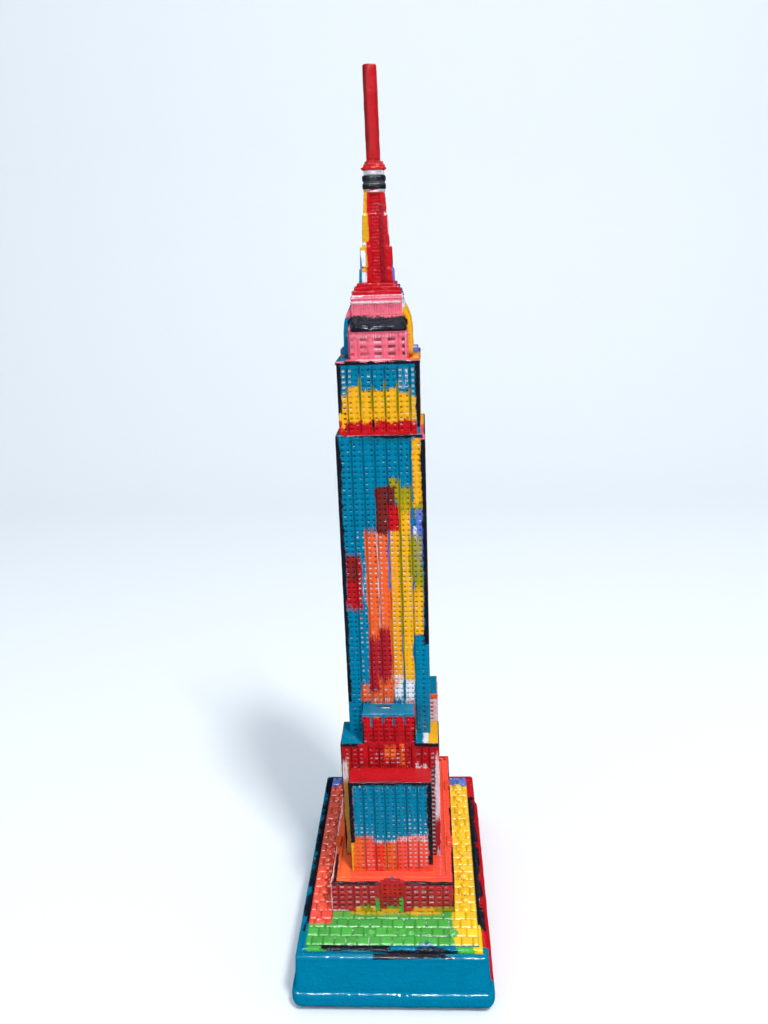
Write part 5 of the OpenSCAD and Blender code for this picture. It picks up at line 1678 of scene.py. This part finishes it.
def make_mast_wings():
    piece = Piece("mast_corner_wings")
    core, recess = 3.3, 1.4
    mast_foot = node_box("mast_wings")[0][2]

    def plan(w, face):
        corners = [(core, recess), (w, w - face), (w, w), (w - face, w), (recess, core), (core, core)]
        return rounded_like(rounded_outline(corners, 0.35, 0.5), 44)

    sections = []
    for z0, z1, wide, narrow, face in WING_STEPS:
        rows = [(0.0, wide - 0.15), (0.08, wide)] + [
            (share, wide + (narrow - wide) * share) for share in (0.35, 0.65)
        ]
        rows += [(0.93, narrow), (0.985, narrow - 0.1), (1.0, narrow - 0.35)]
        sections += [(plan(w, face), mast_foot + z0 + (z1 - z0) * share) for share, w in rows]
    for k, (turn_x, turn_y) in enumerate(((-1, -1), (1, -1), (1, 1), (-1, 1))):
        stacked(piece, mirrored(sections, turn_x, turn_y), 90 + k, slot=k, wobble=0.09, size=1.3)
    front_left = acrylic(
        "wing_left_front_paint", RED,
        [
            stroke(OLD_YELLOW, (-8, -2.9), (326.0, 335), (0.15, 0.3), 0.2),
            stroke(OLD_YELLOW, (-8, -2.5), (315.5, 326.6), (0.15, 0.3), 0.2),
            stroke(PRIMER, (-8, -3.5), (306.5, 315.5), (0.15, 0.5), 0.2),
            stroke(OLD_YELLOW, (-8, -3.4), (312.3, 314.4), (0.15, 0.3), 0.2),
            stroke(OLD_YELLOW, (-4.2, -3.5), (306, 314), (0.15, 0.8), 0.3),
            stroke(PRIMER, (-8, -4.1), (299, 304.6), (0.15, 0.5), 0.2),
            stroke(OLD_YELLOW, (-8, -3.8), (304.4, 305.8), (0.15, 0.3), 0.2),
            stroke(TEAL, (-8, -5.9), (299, 313), (0.1, 0.5), 0.1)
        ]
    )
    front_right = acrylic(
        "wing_right_front_paint", RED,
        [
            # Dark red on the slanted face that turns away from the key lamp is painted shade.
            stroke(DARK_RED, (1.0, 3.9), (300, 330), (0.2, 2.0), 0.3),
            stroke(SHADED_FACE_RED, (1.2, 3.6), (300, 322), (0.2, 5.0), 0.3, opacity=0.5),
            # A pale spot at the wing's step is a painted highlight.
            stroke(PALE_PINK, (3.6, 5.2), (325.4, 326.8), (0.3, 0.3), 0.6, opacity=0.5),
            stroke(LILAC, (6.6, 8), (299, 306), (0.2, 0.5), 0.2)
        ]
    )
    back_right = acrylic(
        "wing_right_back_paint", DARK_RED,
        [
            stroke(PRIMER, (0, 8), (318, 328), (0.3, 1.0), 0.5),
            stroke(LILAC, (0, 8), (299, 307), (0.3, 1.0), 0.5)
        ]
    )
    back_left = acrylic("wing_left_back_paint", YELLOW, [stroke(TEAL, (-8, 0), (299, 314), (0.3, 1.0), 0.5)])
    piece.make([front_left, front_right, back_right, back_left], "mast_wings")


def disc_profile(radius, z0, z1, bevel):
    """The section of a disc with softened rims."""
    rim = radius - bevel * 0.3
    lower = [(0, z0), (radius - bevel, z0), (rim, z0 + bevel * 0.3), (radius, z0 + bevel)]
    upper = [(radius, z1 - bevel), (rim, z1 - bevel * 0.3), (radius - bevel, z1), (radius * 0.6, z1), (0, z1)]
    return lower + [(radius + 0.03, (z0 + z1) / 2)] + upper


def make_mast_top():
    axis = (0.0, TOWER_Y)
    white_gloss = acrylic(
        "disc_paint", PRIMER, [stroke(RED, (-3, 2), (340, 345), (1.0, 0.4), 0.8, opacity=0.3)],
        grain="across", gloss=0.2
    )
    plate_paint = acrylic(
        "plate_paint", GREY,
        [
            stroke(PRIMER, (-1.5, 1.8), (334, 336), (0.8, 0.2), 0.4),
            stroke(YELLOW, (-6, -3.2), (334, 335.4), (0.5, 0.2), 0.5),
            stroke(DARK_RED, (-2, 1.5), (335.2, 337), (0.8, 0.2), 0.8)
        ],
        grain="across"
    )
    black_gloss = acrylic(
        "ring_paint", RING_BLACK, [stroke(RING_GREY, (-6, 8), (337.5, 339), (1.0, 0.2), 0.3)],
        grain="across", gloss=0.3
    )
    spacer_paint = acrylic("spacer_paint", DARK_GREY, (), grain="across", gloss=0.35)
    for name, node, radius, paint, slot, seed in (
        ("mast_top_plate", "mast_plate", 4.35, plate_paint, "discs", 101),
        ("ring_spacer_disc", "ring_spacer", 4.35, spacer_paint, "hardware", 102),
        ("upper_disc", "ring_cover", 4.05, white_gloss, "discs", 103)
    ):
        low, high = node_box(node)
        piece = Piece(name)
        turned(
            piece, axis, disc_profile(radius, low[2], high[2], bevel=0.2), seed, wobble=0.08, around=64,
            size=1.4
        )
        piece.make([paint], node)
    low, high = node_box("ring_pair")
    tall = 2.3
    piece = Piece("black_rings")
    for z0 in (low[2], high[2] - tall):
        turned(
            piece, axis, disc_profile(high[0] - 0.08, z0, z0 + tall, bevel=0.45), seed=104, wobble=0.07,
            around=64, size=1.6
        )
    piece.make([black_gloss], "ring_pair")


def make_spire():
    axis = (0.0, TOWER_Y)
    low, high = node_box("collar")
    rows = [
        (0.0, 0), (3.7, 0), (4.35, 0.12), (4.55, 0.4), (4.6, 0.8), (4.4, 1.1), (4.1, 1.35), (4.0, 1.6),
        (4.15, 1.9), (3.9, 2.2), (3.55, 2.45), (3.3, 2.75), (3.2, 3.0), (3.3, 3.25), (3.0, 3.5), (2.6, 3.6),
        (0.0, 3.6)
    ]
    piece = Piece("spire_collar")
    turned(
        piece, axis, [(r, low[2] + z) for r, z in rows], seed=110, wobble=0.2, around=96, size=0.9,
        spikes=0.95
    )
    paint = acrylic(
        "collar_paint", COLLAR_RED,
        [stroke(PALE_PINK, (-12, 12), (345.0, 345.5), (2, 0.3), 1.0, opacity=0.2)], grain="across",
        gloss=0.14
    )
    piece.make([paint], "collar")

    low, high = node_box("spire")
    height = high[2] - low[2]
    radius = high[0]
    body = [(0.0, 0), (radius - 0.1, 0)] + [
        (radius - 0.05 * t / height, t) for t in np.arange(1.0, height - 1.6, 1.4)
    ]
    tip = [
        (radius - inward, height - below) for inward,
        below in ((0.05, 0.9), (0.1, 0.4), (0.35, 0.12), (0.9, 0.02))
    ]
    tip.append((0.0, height))
    piece = Piece("spire_rod")
    turned(
        piece, axis, [(r, low[2] + z) for r, z in body + tip], seed=112, wobble=0.1, around=48, size=1.8,
        lean=-0.010
    )
    paint = acrylic(
        "spire_paint", SPIRE_RED,
        [
            stroke(DARK_SPIRE_RED, (-6, -1.2), (350, 382), (0.3, 2.0), 0.2),
            stroke(DARK_SPIRE_RED, (1.8, 6), (348, 372), (0.3, 6.0), 0.4, opacity=0.5)
        ],
        bump=0.7
    )
    piece.make([paint], "spire")


# ---------------------------------------------------------------- plinth, paving and trees

PLINTH_LOW, PLINTH_HIGH = node_box("plinth")
PAVING_LOW, PAVING_HIGH = node_box("pavement")
LIP_TOP = 27.0
SLAB = 4.99  # one paving slab


def make_plinth():
    piece = Piece("plinth_moulding")
    under, edge, lip = 4.2, 1.8, 1.2  # radii of the underside, the foot's shoulder and the lip
    foot, board_top, lip_inset = PLINTH_LOW[2], 9.6, 2.6
    face_foot, face_top = (1.38, board_top + 0.7), (lip_inset + 0.05, LIP_TOP - lip)

    def arc(inset, middle, radius, start, end, count):
        """Profile points of a rounding whose outermost point is at inset, from angle start to angle end."""
        return [(inset + radius - radius * math.cos(a), middle + radius * math.sin(a))
                for a in np.linspace(start, end, count)]

    profile = arc(0.0, foot + under, under, -math.pi / 2, 0, 9)
    profile += arc(0.0, board_top - edge, edge, 0, 1.2, 7)
    profile.append((1.33, board_top + 0.15))
    profile += [tuple(point) for point in np.linspace(face_foot, face_top, 9)]
    profile += arc(lip_inset, LIP_TOP - lip, lip, 0.1, math.pi / 2, 6)
    profile.append((lip_inset + lip + 1.2, LIP_TOP + 0.12))
    moulding(
        piece, (PLINTH_LOW, PLINTH_HIGH), profile, radius=4.2, seed=121, slot=0, wobble=0.11, per_side=90,
        size=4.0
    )
    curb_x, curb_y = 5.05, 5.75
    curb = ((-0.1, -0.3, -0.5), (0, 0, 0.3), (0.15, 0.25, 0.7), (0.45, 0.7, 1.05), (0.9, 1.3, 1.25))
    shelf = [(curb_x + dx, curb_y + dy, LIP_TOP + rise) for dx, dy, rise in curb]
    shelf.append((curb_x + 1.4, curb_y + 2.0, PLINTH_HIGH[2]))
    moulding(
        piece, (PLINTH_LOW, PLINTH_HIGH), shelf, radius=5.0, seed=123, slot=1, wobble=0.16, per_side=90,
        size=1.8, roof_slot=2, roof_step=2.0
    )
    foot_w = PLINTH_HIGH[0] - PLINTH_LOW[0]
    foot_d = PLINTH_HIGH[1] - PLINTH_LOW[1]
    right, left, rear = foot_w / 2, -foot_w / 2, foot_w / 2 + foot_d
    sides = [
        stroke(RED, (right + 0.5, rear + 2), (-3, 27), (0.3, 0.5), 0.3),
        stroke(DARK_RED, (right + 30, right + 110), (10, 21), (14, 5), 1.0, opacity=0.3),
        stroke(LIGHT_TEAL, (left - 60, left - 2), (9, 21), (4, 2.0), 0.6, opacity=0.3),
        stroke(BLUE, (-20, 30), (9.5, 20), (4, 2.0), 0.8, opacity=0.2),
        stroke(LILAC, (rear + 1, 300), (-3, 27), (2.5, 0.5), 1.2),
        stroke(TEAL, (-300, -rear - 8), (-3, 27), (2.5, 0.5), 1.2),
        stroke(LILAC, (-300, -rear - 37), (-3, 27), (2.5, 0.5), 1.2),
        ink((right + 10, right + 106), (24.7, 26), (2.0, 0.2), 0.3),
        ink((left - 128, left - 10), (24.85, 26), (2.0, 0.2), 0.3),
        ink((-8, 25), (24.55, 26), (4.0, 0.2), 0.3)
    ]
    ledge = [
        stroke(GREEN, (-37, -28), (25, 27), (2.0, 0.5), 0.8),
        stroke(GREEN, (-25, -6), (25.2, 26), (3.0, 0.3), 0.9, opacity=0.4),
        stroke(BRIGHT_YELLOW, (35, right + 9), (24, 27), (0.8, 0.5), 0.6),
        stroke(GREEN, (28, 36), (25, 27), (1.5, 0.5), 1.0),
        ink((-31, -1), (25.6, 26.7), (1.5, 0.25), 0.35),
        ink((-4, 27), (24.6, 25.8), (4.0, 0.2), 0.3),
        ink((10, 27), (24.4, 26.2), (3.0, 0.2), 0.3),
        stroke(RED, (right + 56, rear + 2), (24, 27), (2.0, 0.3), 0.5),
        ink((right + 9, right + 104), (24.6, 27), (2.0, 0.25), 0.3),
        ink((left - 128, left - 9), (24.6, 27), (2.0, 0.25), 0.3),
        stroke(LILAC, (rear, 300), (24, 27)),
        stroke(LILAC, (-300, -rear), (24, 27))
    ]
    paints = [
        acrylic("plinth_paint", TEAL, sides, grain="across", gloss=0.045, bump=0.6, shine=0.5, grit=0.15),
        acrylic("shelf_paint", TEAL, ledge, grain="across", shine=0.15, grit=0.4),
        acrylic("curb_top_paint", TEAL, (), grain="across", gloss=0.2)
    ]
    piece.make(paints, "plinth")


def paving_row(piece, x0, x1, y0, y1, offset, rng, base_z, top_z):
    """A row of slabs with sunk joints between them; offset shifts the joints along the row."""
    joint, bevel, least = 0.13, 0.22, 1.2
    starts = [x0] + [x for x in np.arange(x0 - SLAB + offset, x1, SLAB) if x0 + least < x < x1 - least] + [x1]
    xs, low_x, owner = [], [], []
    for k, (a, b) in enumerate(zip(starts, starts[1:])):
        xs += [
            a, a + joint, a + joint + bevel, *np.linspace(a + 1.0, b - 1.0, 4), b - joint - bevel, b - joint
        ]
        low_x += [1, 1, 0, 0, 0, 0, 0, 0, 1]
        owner += [k] * 9
    xs.append(x1)
    low_x.append(1)
    owner.append(len(starts) - 2)
    inner_y = [] if y1 - y0 < 2.6 else list(np.linspace(y0 + 1.0, y1 - 1.0, 4))
    ys = [y0, y0 + joint, y0 + joint + bevel, *inner_y, y1 - joint - bevel, y1 - joint, y1]
    low_y = [1, 1, 0] + [0] * len(inner_y) + [0, 1, 1]
    xs, ys, owner = np.array(xs), np.array(ys), np.array(owner)
    sunk = np.maximum(np.array(low_x)[:, None], np.array(low_y)[None, :])
    tilt = rng.uniform(-0.03, 0.03, (len(starts), 2))
    lift = rng.uniform(-0.16, 0.10, len(starts))
    shade = rng.random(len(starts))
    gx, gy = np.meshgrid(xs, ys, indexing="ij")
    own = np.broadcast_to(owner[:, None], gx.shape)
    middle = np.array([(a + b) / 2 for a, b in zip(starts, starts[1:])])[own]
    z = top_z - 0.1 + lift[own] + tilt[own, 0] * (gx - middle) + tilt[own, 1] * (gy - (y0 + y1) / 2)
    points = np.stack([gx, gy, z], axis=-1)
    points[..., 2] += value_noise(points, 1.1, 131) * 0.07
    points[..., 2] = np.where(sunk > 0, base_z + (top_z - base_z) * 0.45, points[..., 2])
    points[..., :2] += value_noise(points, 3.0, 133)[..., None] * 0.07
    piece.grid(points, np.stack([gx, gy], axis=-1), wall_u=gx, wall_v=gy, groove=sunk, cell=shade[own])


def make_pavement():
    piece = Piece("running_bond_paving")
    rng = np.random.default_rng(7)
    (x0, y0, z0), (x1, y1, z1) = PAVING_LOW, PAVING_HIGH
    edge = [(0.0, z0 - 0.2), (0.02, z0 + 0.2)] + round_over(0.02, z1 - 0.8, 0.15, 2)
    moulding(
        piece, (PAVING_LOW, PAVING_HIGH), edge, radius=0.5, seed=134, slot=1, wobble=0.12, per_side=60,
        size=1.4, roof_slot=1
    )
    rows = np.arange(y0, y1 - 1.0, SLAB)
    for k, y in enumerate(rows):
        top = min(y + SLAB, y1)
        offset = 0.0 if k % 2 else SLAB / 2
        if top < PODIUM_LOW[1] + 1.5 or y > PODIUM_HIGH[1] - 0.6:
            paving_row(piece, x0, x1, y, top, offset, rng, z0, z1)
        else:
            paving_row(piece, x0, PODIUM_LOW[0] + 0.3, y, top, offset, rng, z0, z1)
            paving_row(piece, PODIUM_HIGH[0] - 0.3, x1, y, top, offset, rng, z0, z1)
    strokes = [
        stroke(BRIGHT_YELLOW, (27, 40), (-43, 58), (0.3, 1.5), 0.5),
        stroke(CORAL, (-40, -27), (-49, 60), (0.3, 1.2), 0.5, fill=2),
        stroke(BRICK, (-40, -27), (-36, 60), (0.3, 3.0), 0.6, opacity=0.5, fill=2),
        stroke(LILAC, (-40, 40), (53, 62), (0.5, 1.5), 0.5, fill=2),
        stroke(BRIGHT_YELLOW, (26.5, 40), (-60.8, -41), (0.5, 0.8), 0.6),
        stroke(LIGHT_GREEN, (-30, 22), (-56, -45), (5.0, 3.0), 1.4, opacity=0.2, fill=2),
        stroke(OLIVE, (-28, 24), (-44.0, -41), (2.0, 0.8), 1.0, opacity=0.4, fill=2),
        stroke(YELLOW, (-19, 22), (-43.0, -41), (3.0, 0.6), 1.2, opacity=0.6, fill=2),
        stroke(TEAL, (12, 18), (-61, -59.3), (0.8, 0.5), 0.8, fill=2)
    ]
    paints = [
        acrylic(
            "paving_paint", GREEN, strokes, grain="across", gloss=0.3, bump=0.5, fill=2.0, joints=PRIMER
        ),
        acrylic(
            "paving_edge_paint", TEAL,
            [
                ink((-31, -1), (26, 28), (1.5, 0.25), 0.35),
                stroke(GREEN, (-37, -31), (26, 28), (0.8, 0.4), 0.5)
            ],
            grain="across"
        )
    ]
    piece.make(paints, "pavement")


TREE_RADIUS = 2.0
TREE_ROW = (-40.0, 5.4, 18)  # where a side row starts, how far apart its trees are and how many it has


def tree_spots():
    """The place and radius of each tree: two wavering side rows, and a few on the apron."""
    side_x = (PODIUM_HIGH[0] + PAVING_HIGH[0]) / 2
    start, pitch, count = TREE_ROW
    spots = []
    for i in range(count):
        x, y, size = (
            share * math.sin(math.radians(i * step)) for share, step in ((0.3, 140), (0.5, 75), (0.12, 200))
        )
        spots += [(s * (side_x + x), start + i * pitch + y, TREE_RADIUS * (1 + size)) for s in (-1, 1)]
    return spots + [(x, -54.0, TREE_RADIUS * 1.15) for x in (-9.3, 8.2, 26.5)] + [(-33.1, -46.4, TREE_RADIUS)]


def make_trees():
    piece = Piece("street_tree_lumps")
    ground = PAVING_HIGH[2] - 0.3
    angle = np.linspace(0, 2 * math.pi, 17)[:, None]
    climb = np.linspace(0, math.pi / 2, 8)[None, :]
    away = np.stack(
        np.broadcast_arrays(np.cos(angle) * np.cos(climb), np.sin(angle) * np.cos(climb), np.sin(climb)), -1
    )
    for k, (x, y, r) in enumerate(tree_spots()):
        rise = np.sin(climb) * r * 0.62
        reach = np.cos(climb) * r
        points = np.stack(
            np.broadcast_arrays(x + np.cos(angle) * reach, y + np.sin(angle) * reach, ground + rise), -1
        )
        rough = value_noise(points, 0.8, 141) * 0.3 + value_noise(points, 0.35, 142) * 0.18
        rough[:, -1] = rough[0, -1]
        rough[-1] = rough[0]
        points += away * rough[..., None]
        flat = np.stack(np.broadcast_arrays(angle * r * 0.6, climb * r), -1)
        # groove is 1 where a lump meets the ground; the paint darkens it there with painted shade in the
        # crease.
        piece.grid(points, flat, 0, wall_u=points[..., 0], wall_v=points[..., 1], cell=(k * 0.37) % 1.0,
                   groove=np.clip(1 - rise / 0.55, 0, 1))
    strokes = [
        stroke(BRIGHT_YELLOW, (25.8, 40), (-50, 58), (0.3, 1.5), 0.5),
        stroke(PRIMER, (24, 30), (-55.5, -52), (0.4, 0.4), 1.2, opacity=0.3, fill=2),
        stroke(BRICK, (-40, -28), (-43, 60), (0.3, 1.0), 0.4, fill=2),
        stroke(CORAL, (-40, -28), (-50, -42), (0.3, 1.0), 0.6, fill=2),
        stroke(RED, (-40, -28), (-50, -42), (0.3, 1.0), 1.2, opacity=0.3, fill=2),
        stroke(OLIVE, (30, 40), (-60, 60), (0.8, 4.0), 2.4, opacity=0.2, fill=2),
        stroke(LILAC, (-40, 40), (53, 62), (0.5, 1.5), 0.5, fill=2)
    ]
    piece.make(
        [acrylic("tree_paint", GREEN, strokes, grain="across", gloss=0.3, bump=0.7, fill=2.0)],
        "street_trees"
    )


# ---------------------------------------------------------------- hardware that keeps its CAD shape


def finish_hardware():
    steel = bare_metal("turned_steel", (0.62, 0.63, 0.65), rough=0.32)
    zinc = bare_metal("zinc_plate", (0.70, 0.72, 0.74), rough=0.4, grain=(30.0, 900.0, 30.0))
    brass = bare_metal("brass_pin", (0.80, 0.58, 0.25), rough=0.3)
    cast = bare_metal("cast_ballast", (0.34, 0.34, 0.35), rough=0.62, grain=(300.0, 300.0, 300.0))
    pad = felt("felt_pad")
    for name, material in (
        ("base_pad", pad), ("base_plate", zinc), ("plate_screws", steel), ("ballast", cast),
        ("rod_washer", zinc), ("rod_nut", zinc), ("tie_rod", steel), ("dowels", brass)
    ):
        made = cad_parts[name]
        made.data.materials.clear()
        made.data.materials.append(material)


# ---------------------------------------------------------------- camera, light and floor


CAMERA_PLACE = (19.13, -357.65, 316.0)
CAMERA_TURN = (0.0538, 0.3001, 0.0347)  # yaw, pitch and roll, in radians


def make_camera():
    data = bpy.data.cameras.new("camera")
    made = bpy.data.objects.new("camera", data)
    bpy.context.scene.collection.objects.link(made)
    yaw, pitch, roll = CAMERA_TURN
    forward = Vector((-math.sin(yaw) * math.cos(pitch), math.cos(yaw) * math.cos(pitch), -math.sin(pitch)))
    level = Vector((math.cos(yaw), math.sin(yaw), 0.0))
    down = forward.cross(level)
    right = math.cos(roll) * level + math.sin(roll) * down
    up = math.sin(roll) * level - math.cos(roll) * down
    place = Vector(CAMERA_PLACE) * MM
    made.matrix_world = Matrix(((right.x, up.x, -forward.x, place.x), (right.y, up.y, -forward.y, place.y),
                                (right.z, up.z, -forward.z, place.z), (0, 0, 0, 1)))
    data.sensor_fit = "VERTICAL"
    data.sensor_height = 24.0
    data.lens = 20.13
    data.clip_start = 0.01
    data.clip_end = 30.0
    bpy.context.scene.camera = made


def area_light(name, place, target, size, power, colour=(1.0, 1.0, 1.0), only_gloss=False):
    """A lamp aimed at target; with only_gloss it shows in the gloss of the paint and lights nothing."""
    data = bpy.data.lights.new(name, "AREA")
    data.shape = "RECTANGLE"
    data.size, data.size_y = size
    data.energy = power
    data.color = colour
    made = bpy.data.objects.new(name, data)
    bpy.context.scene.collection.objects.link(made)
    made.location = place
    made.rotation_euler = (Vector(target) - Vector(place)).to_track_quat("-Z", "Y").to_euler()
    made.visible_diffuse = not only_gloss


def make_stage():
    """A pale seamless sweep: floor, curve and wall in one sheet."""
    reach, back, curve, tall = 2.5, 1.2, 0.5, 3.0
    profile = [(-2.5, 0.0), (-1.0, 0.0), (0.0, 0.0), (back - curve, 0.0)]
    profile += [
        (back - curve + curve * math.sin(a), curve - curve * math.cos(a))
        for a in np.linspace(0.1, math.pi / 2, 16)
    ]
    profile.append((back, tall))
    verts = [(x, y, z) for x in (-reach, 0.0, reach) for y, z in profile]
    n = len(profile)
    faces = [
        (i * n + j, i * n + j + 1, (i + 1) * n + j + 1, (i + 1) * n + j) for i in range(2)
        for j in range(n - 1)
    ]
    mesh = bpy.data.meshes.new("sweep")
    mesh.from_pydata(verts, [], [f[::-1] for f in faces])
    mesh.polygons.foreach_set("use_smooth", [True] * len(mesh.polygons))
    made = bpy.data.objects.new("sweep", mesh)
    bpy.context.scene.collection.objects.link(made)
    material, s, shader = new_material("sweep_paper")
    tooth = s.noise(s.add("ShaderNodeTexCoord").outputs["Object"], 900.0, 3.0)
    s.put(shader.inputs["Base Color"], s.mix(tooth, (0.82, 0.855, 0.89), (0.87, 0.905, 0.94)))
    shader.inputs["Roughness"].default_value = 0.75
    made.data.materials.append(material)
    made.visible_glossy = False


def make_lights():
    world = bpy.context.scene.world or bpy.data.worlds.new("world")
    bpy.context.scene.world = world
    world.use_nodes = True
    back = world.node_tree.nodes["Background"]
    back.inputs["Color"].default_value = (0.84, 0.92, 1.0, 1.0)
    back.inputs["Strength"].default_value = 0.74
    world.cycles_visibility.glossy = False
    area_light("key", (0.42, -0.66, 1.45), (0, 0, 0.1), (0.2, 0.2), power=17.0, colour=(1.0, 0.98, 0.95))
    area_light("fill", (-1.1, -0.9, 0.9), (0, 0, 0.15), (0.8, 0.8), power=2.0, colour=(0.92, 0.97, 1.0))
    area_light("strip", (0.0, -0.55, 1.5), (0, 0, 0.15), (1.4, 0.04), power=45.0, only_gloss=True)
    area_light("glint", (0.2, -0.95, 0.8), (0, 0, 0.15), (0.06, 0.06), power=1.5, only_gloss=True)
    area_light("rear", (0.1, 0.95, 1.0), (0, 0, 0.1), (0.5, 0.06), power=0.7, only_gloss=True)


make_camera()
make_shaft()
make_upper_tier()
make_lower_tower()
make_shoulders()
make_setback_bays()
make_podium()
make_portal()
make_pavilions()
make_crown()
make_fins()
make_hood()
make_cap()
make_mast_base()
make_mast_core()
make_mast_wings()
make_mast_top()
make_spire()
make_plinth()
make_pavement()
make_trees()
finish_hardware()
make_stage()
make_lights()
bpy.context.scene.view_settings.view_transform = "Standard"
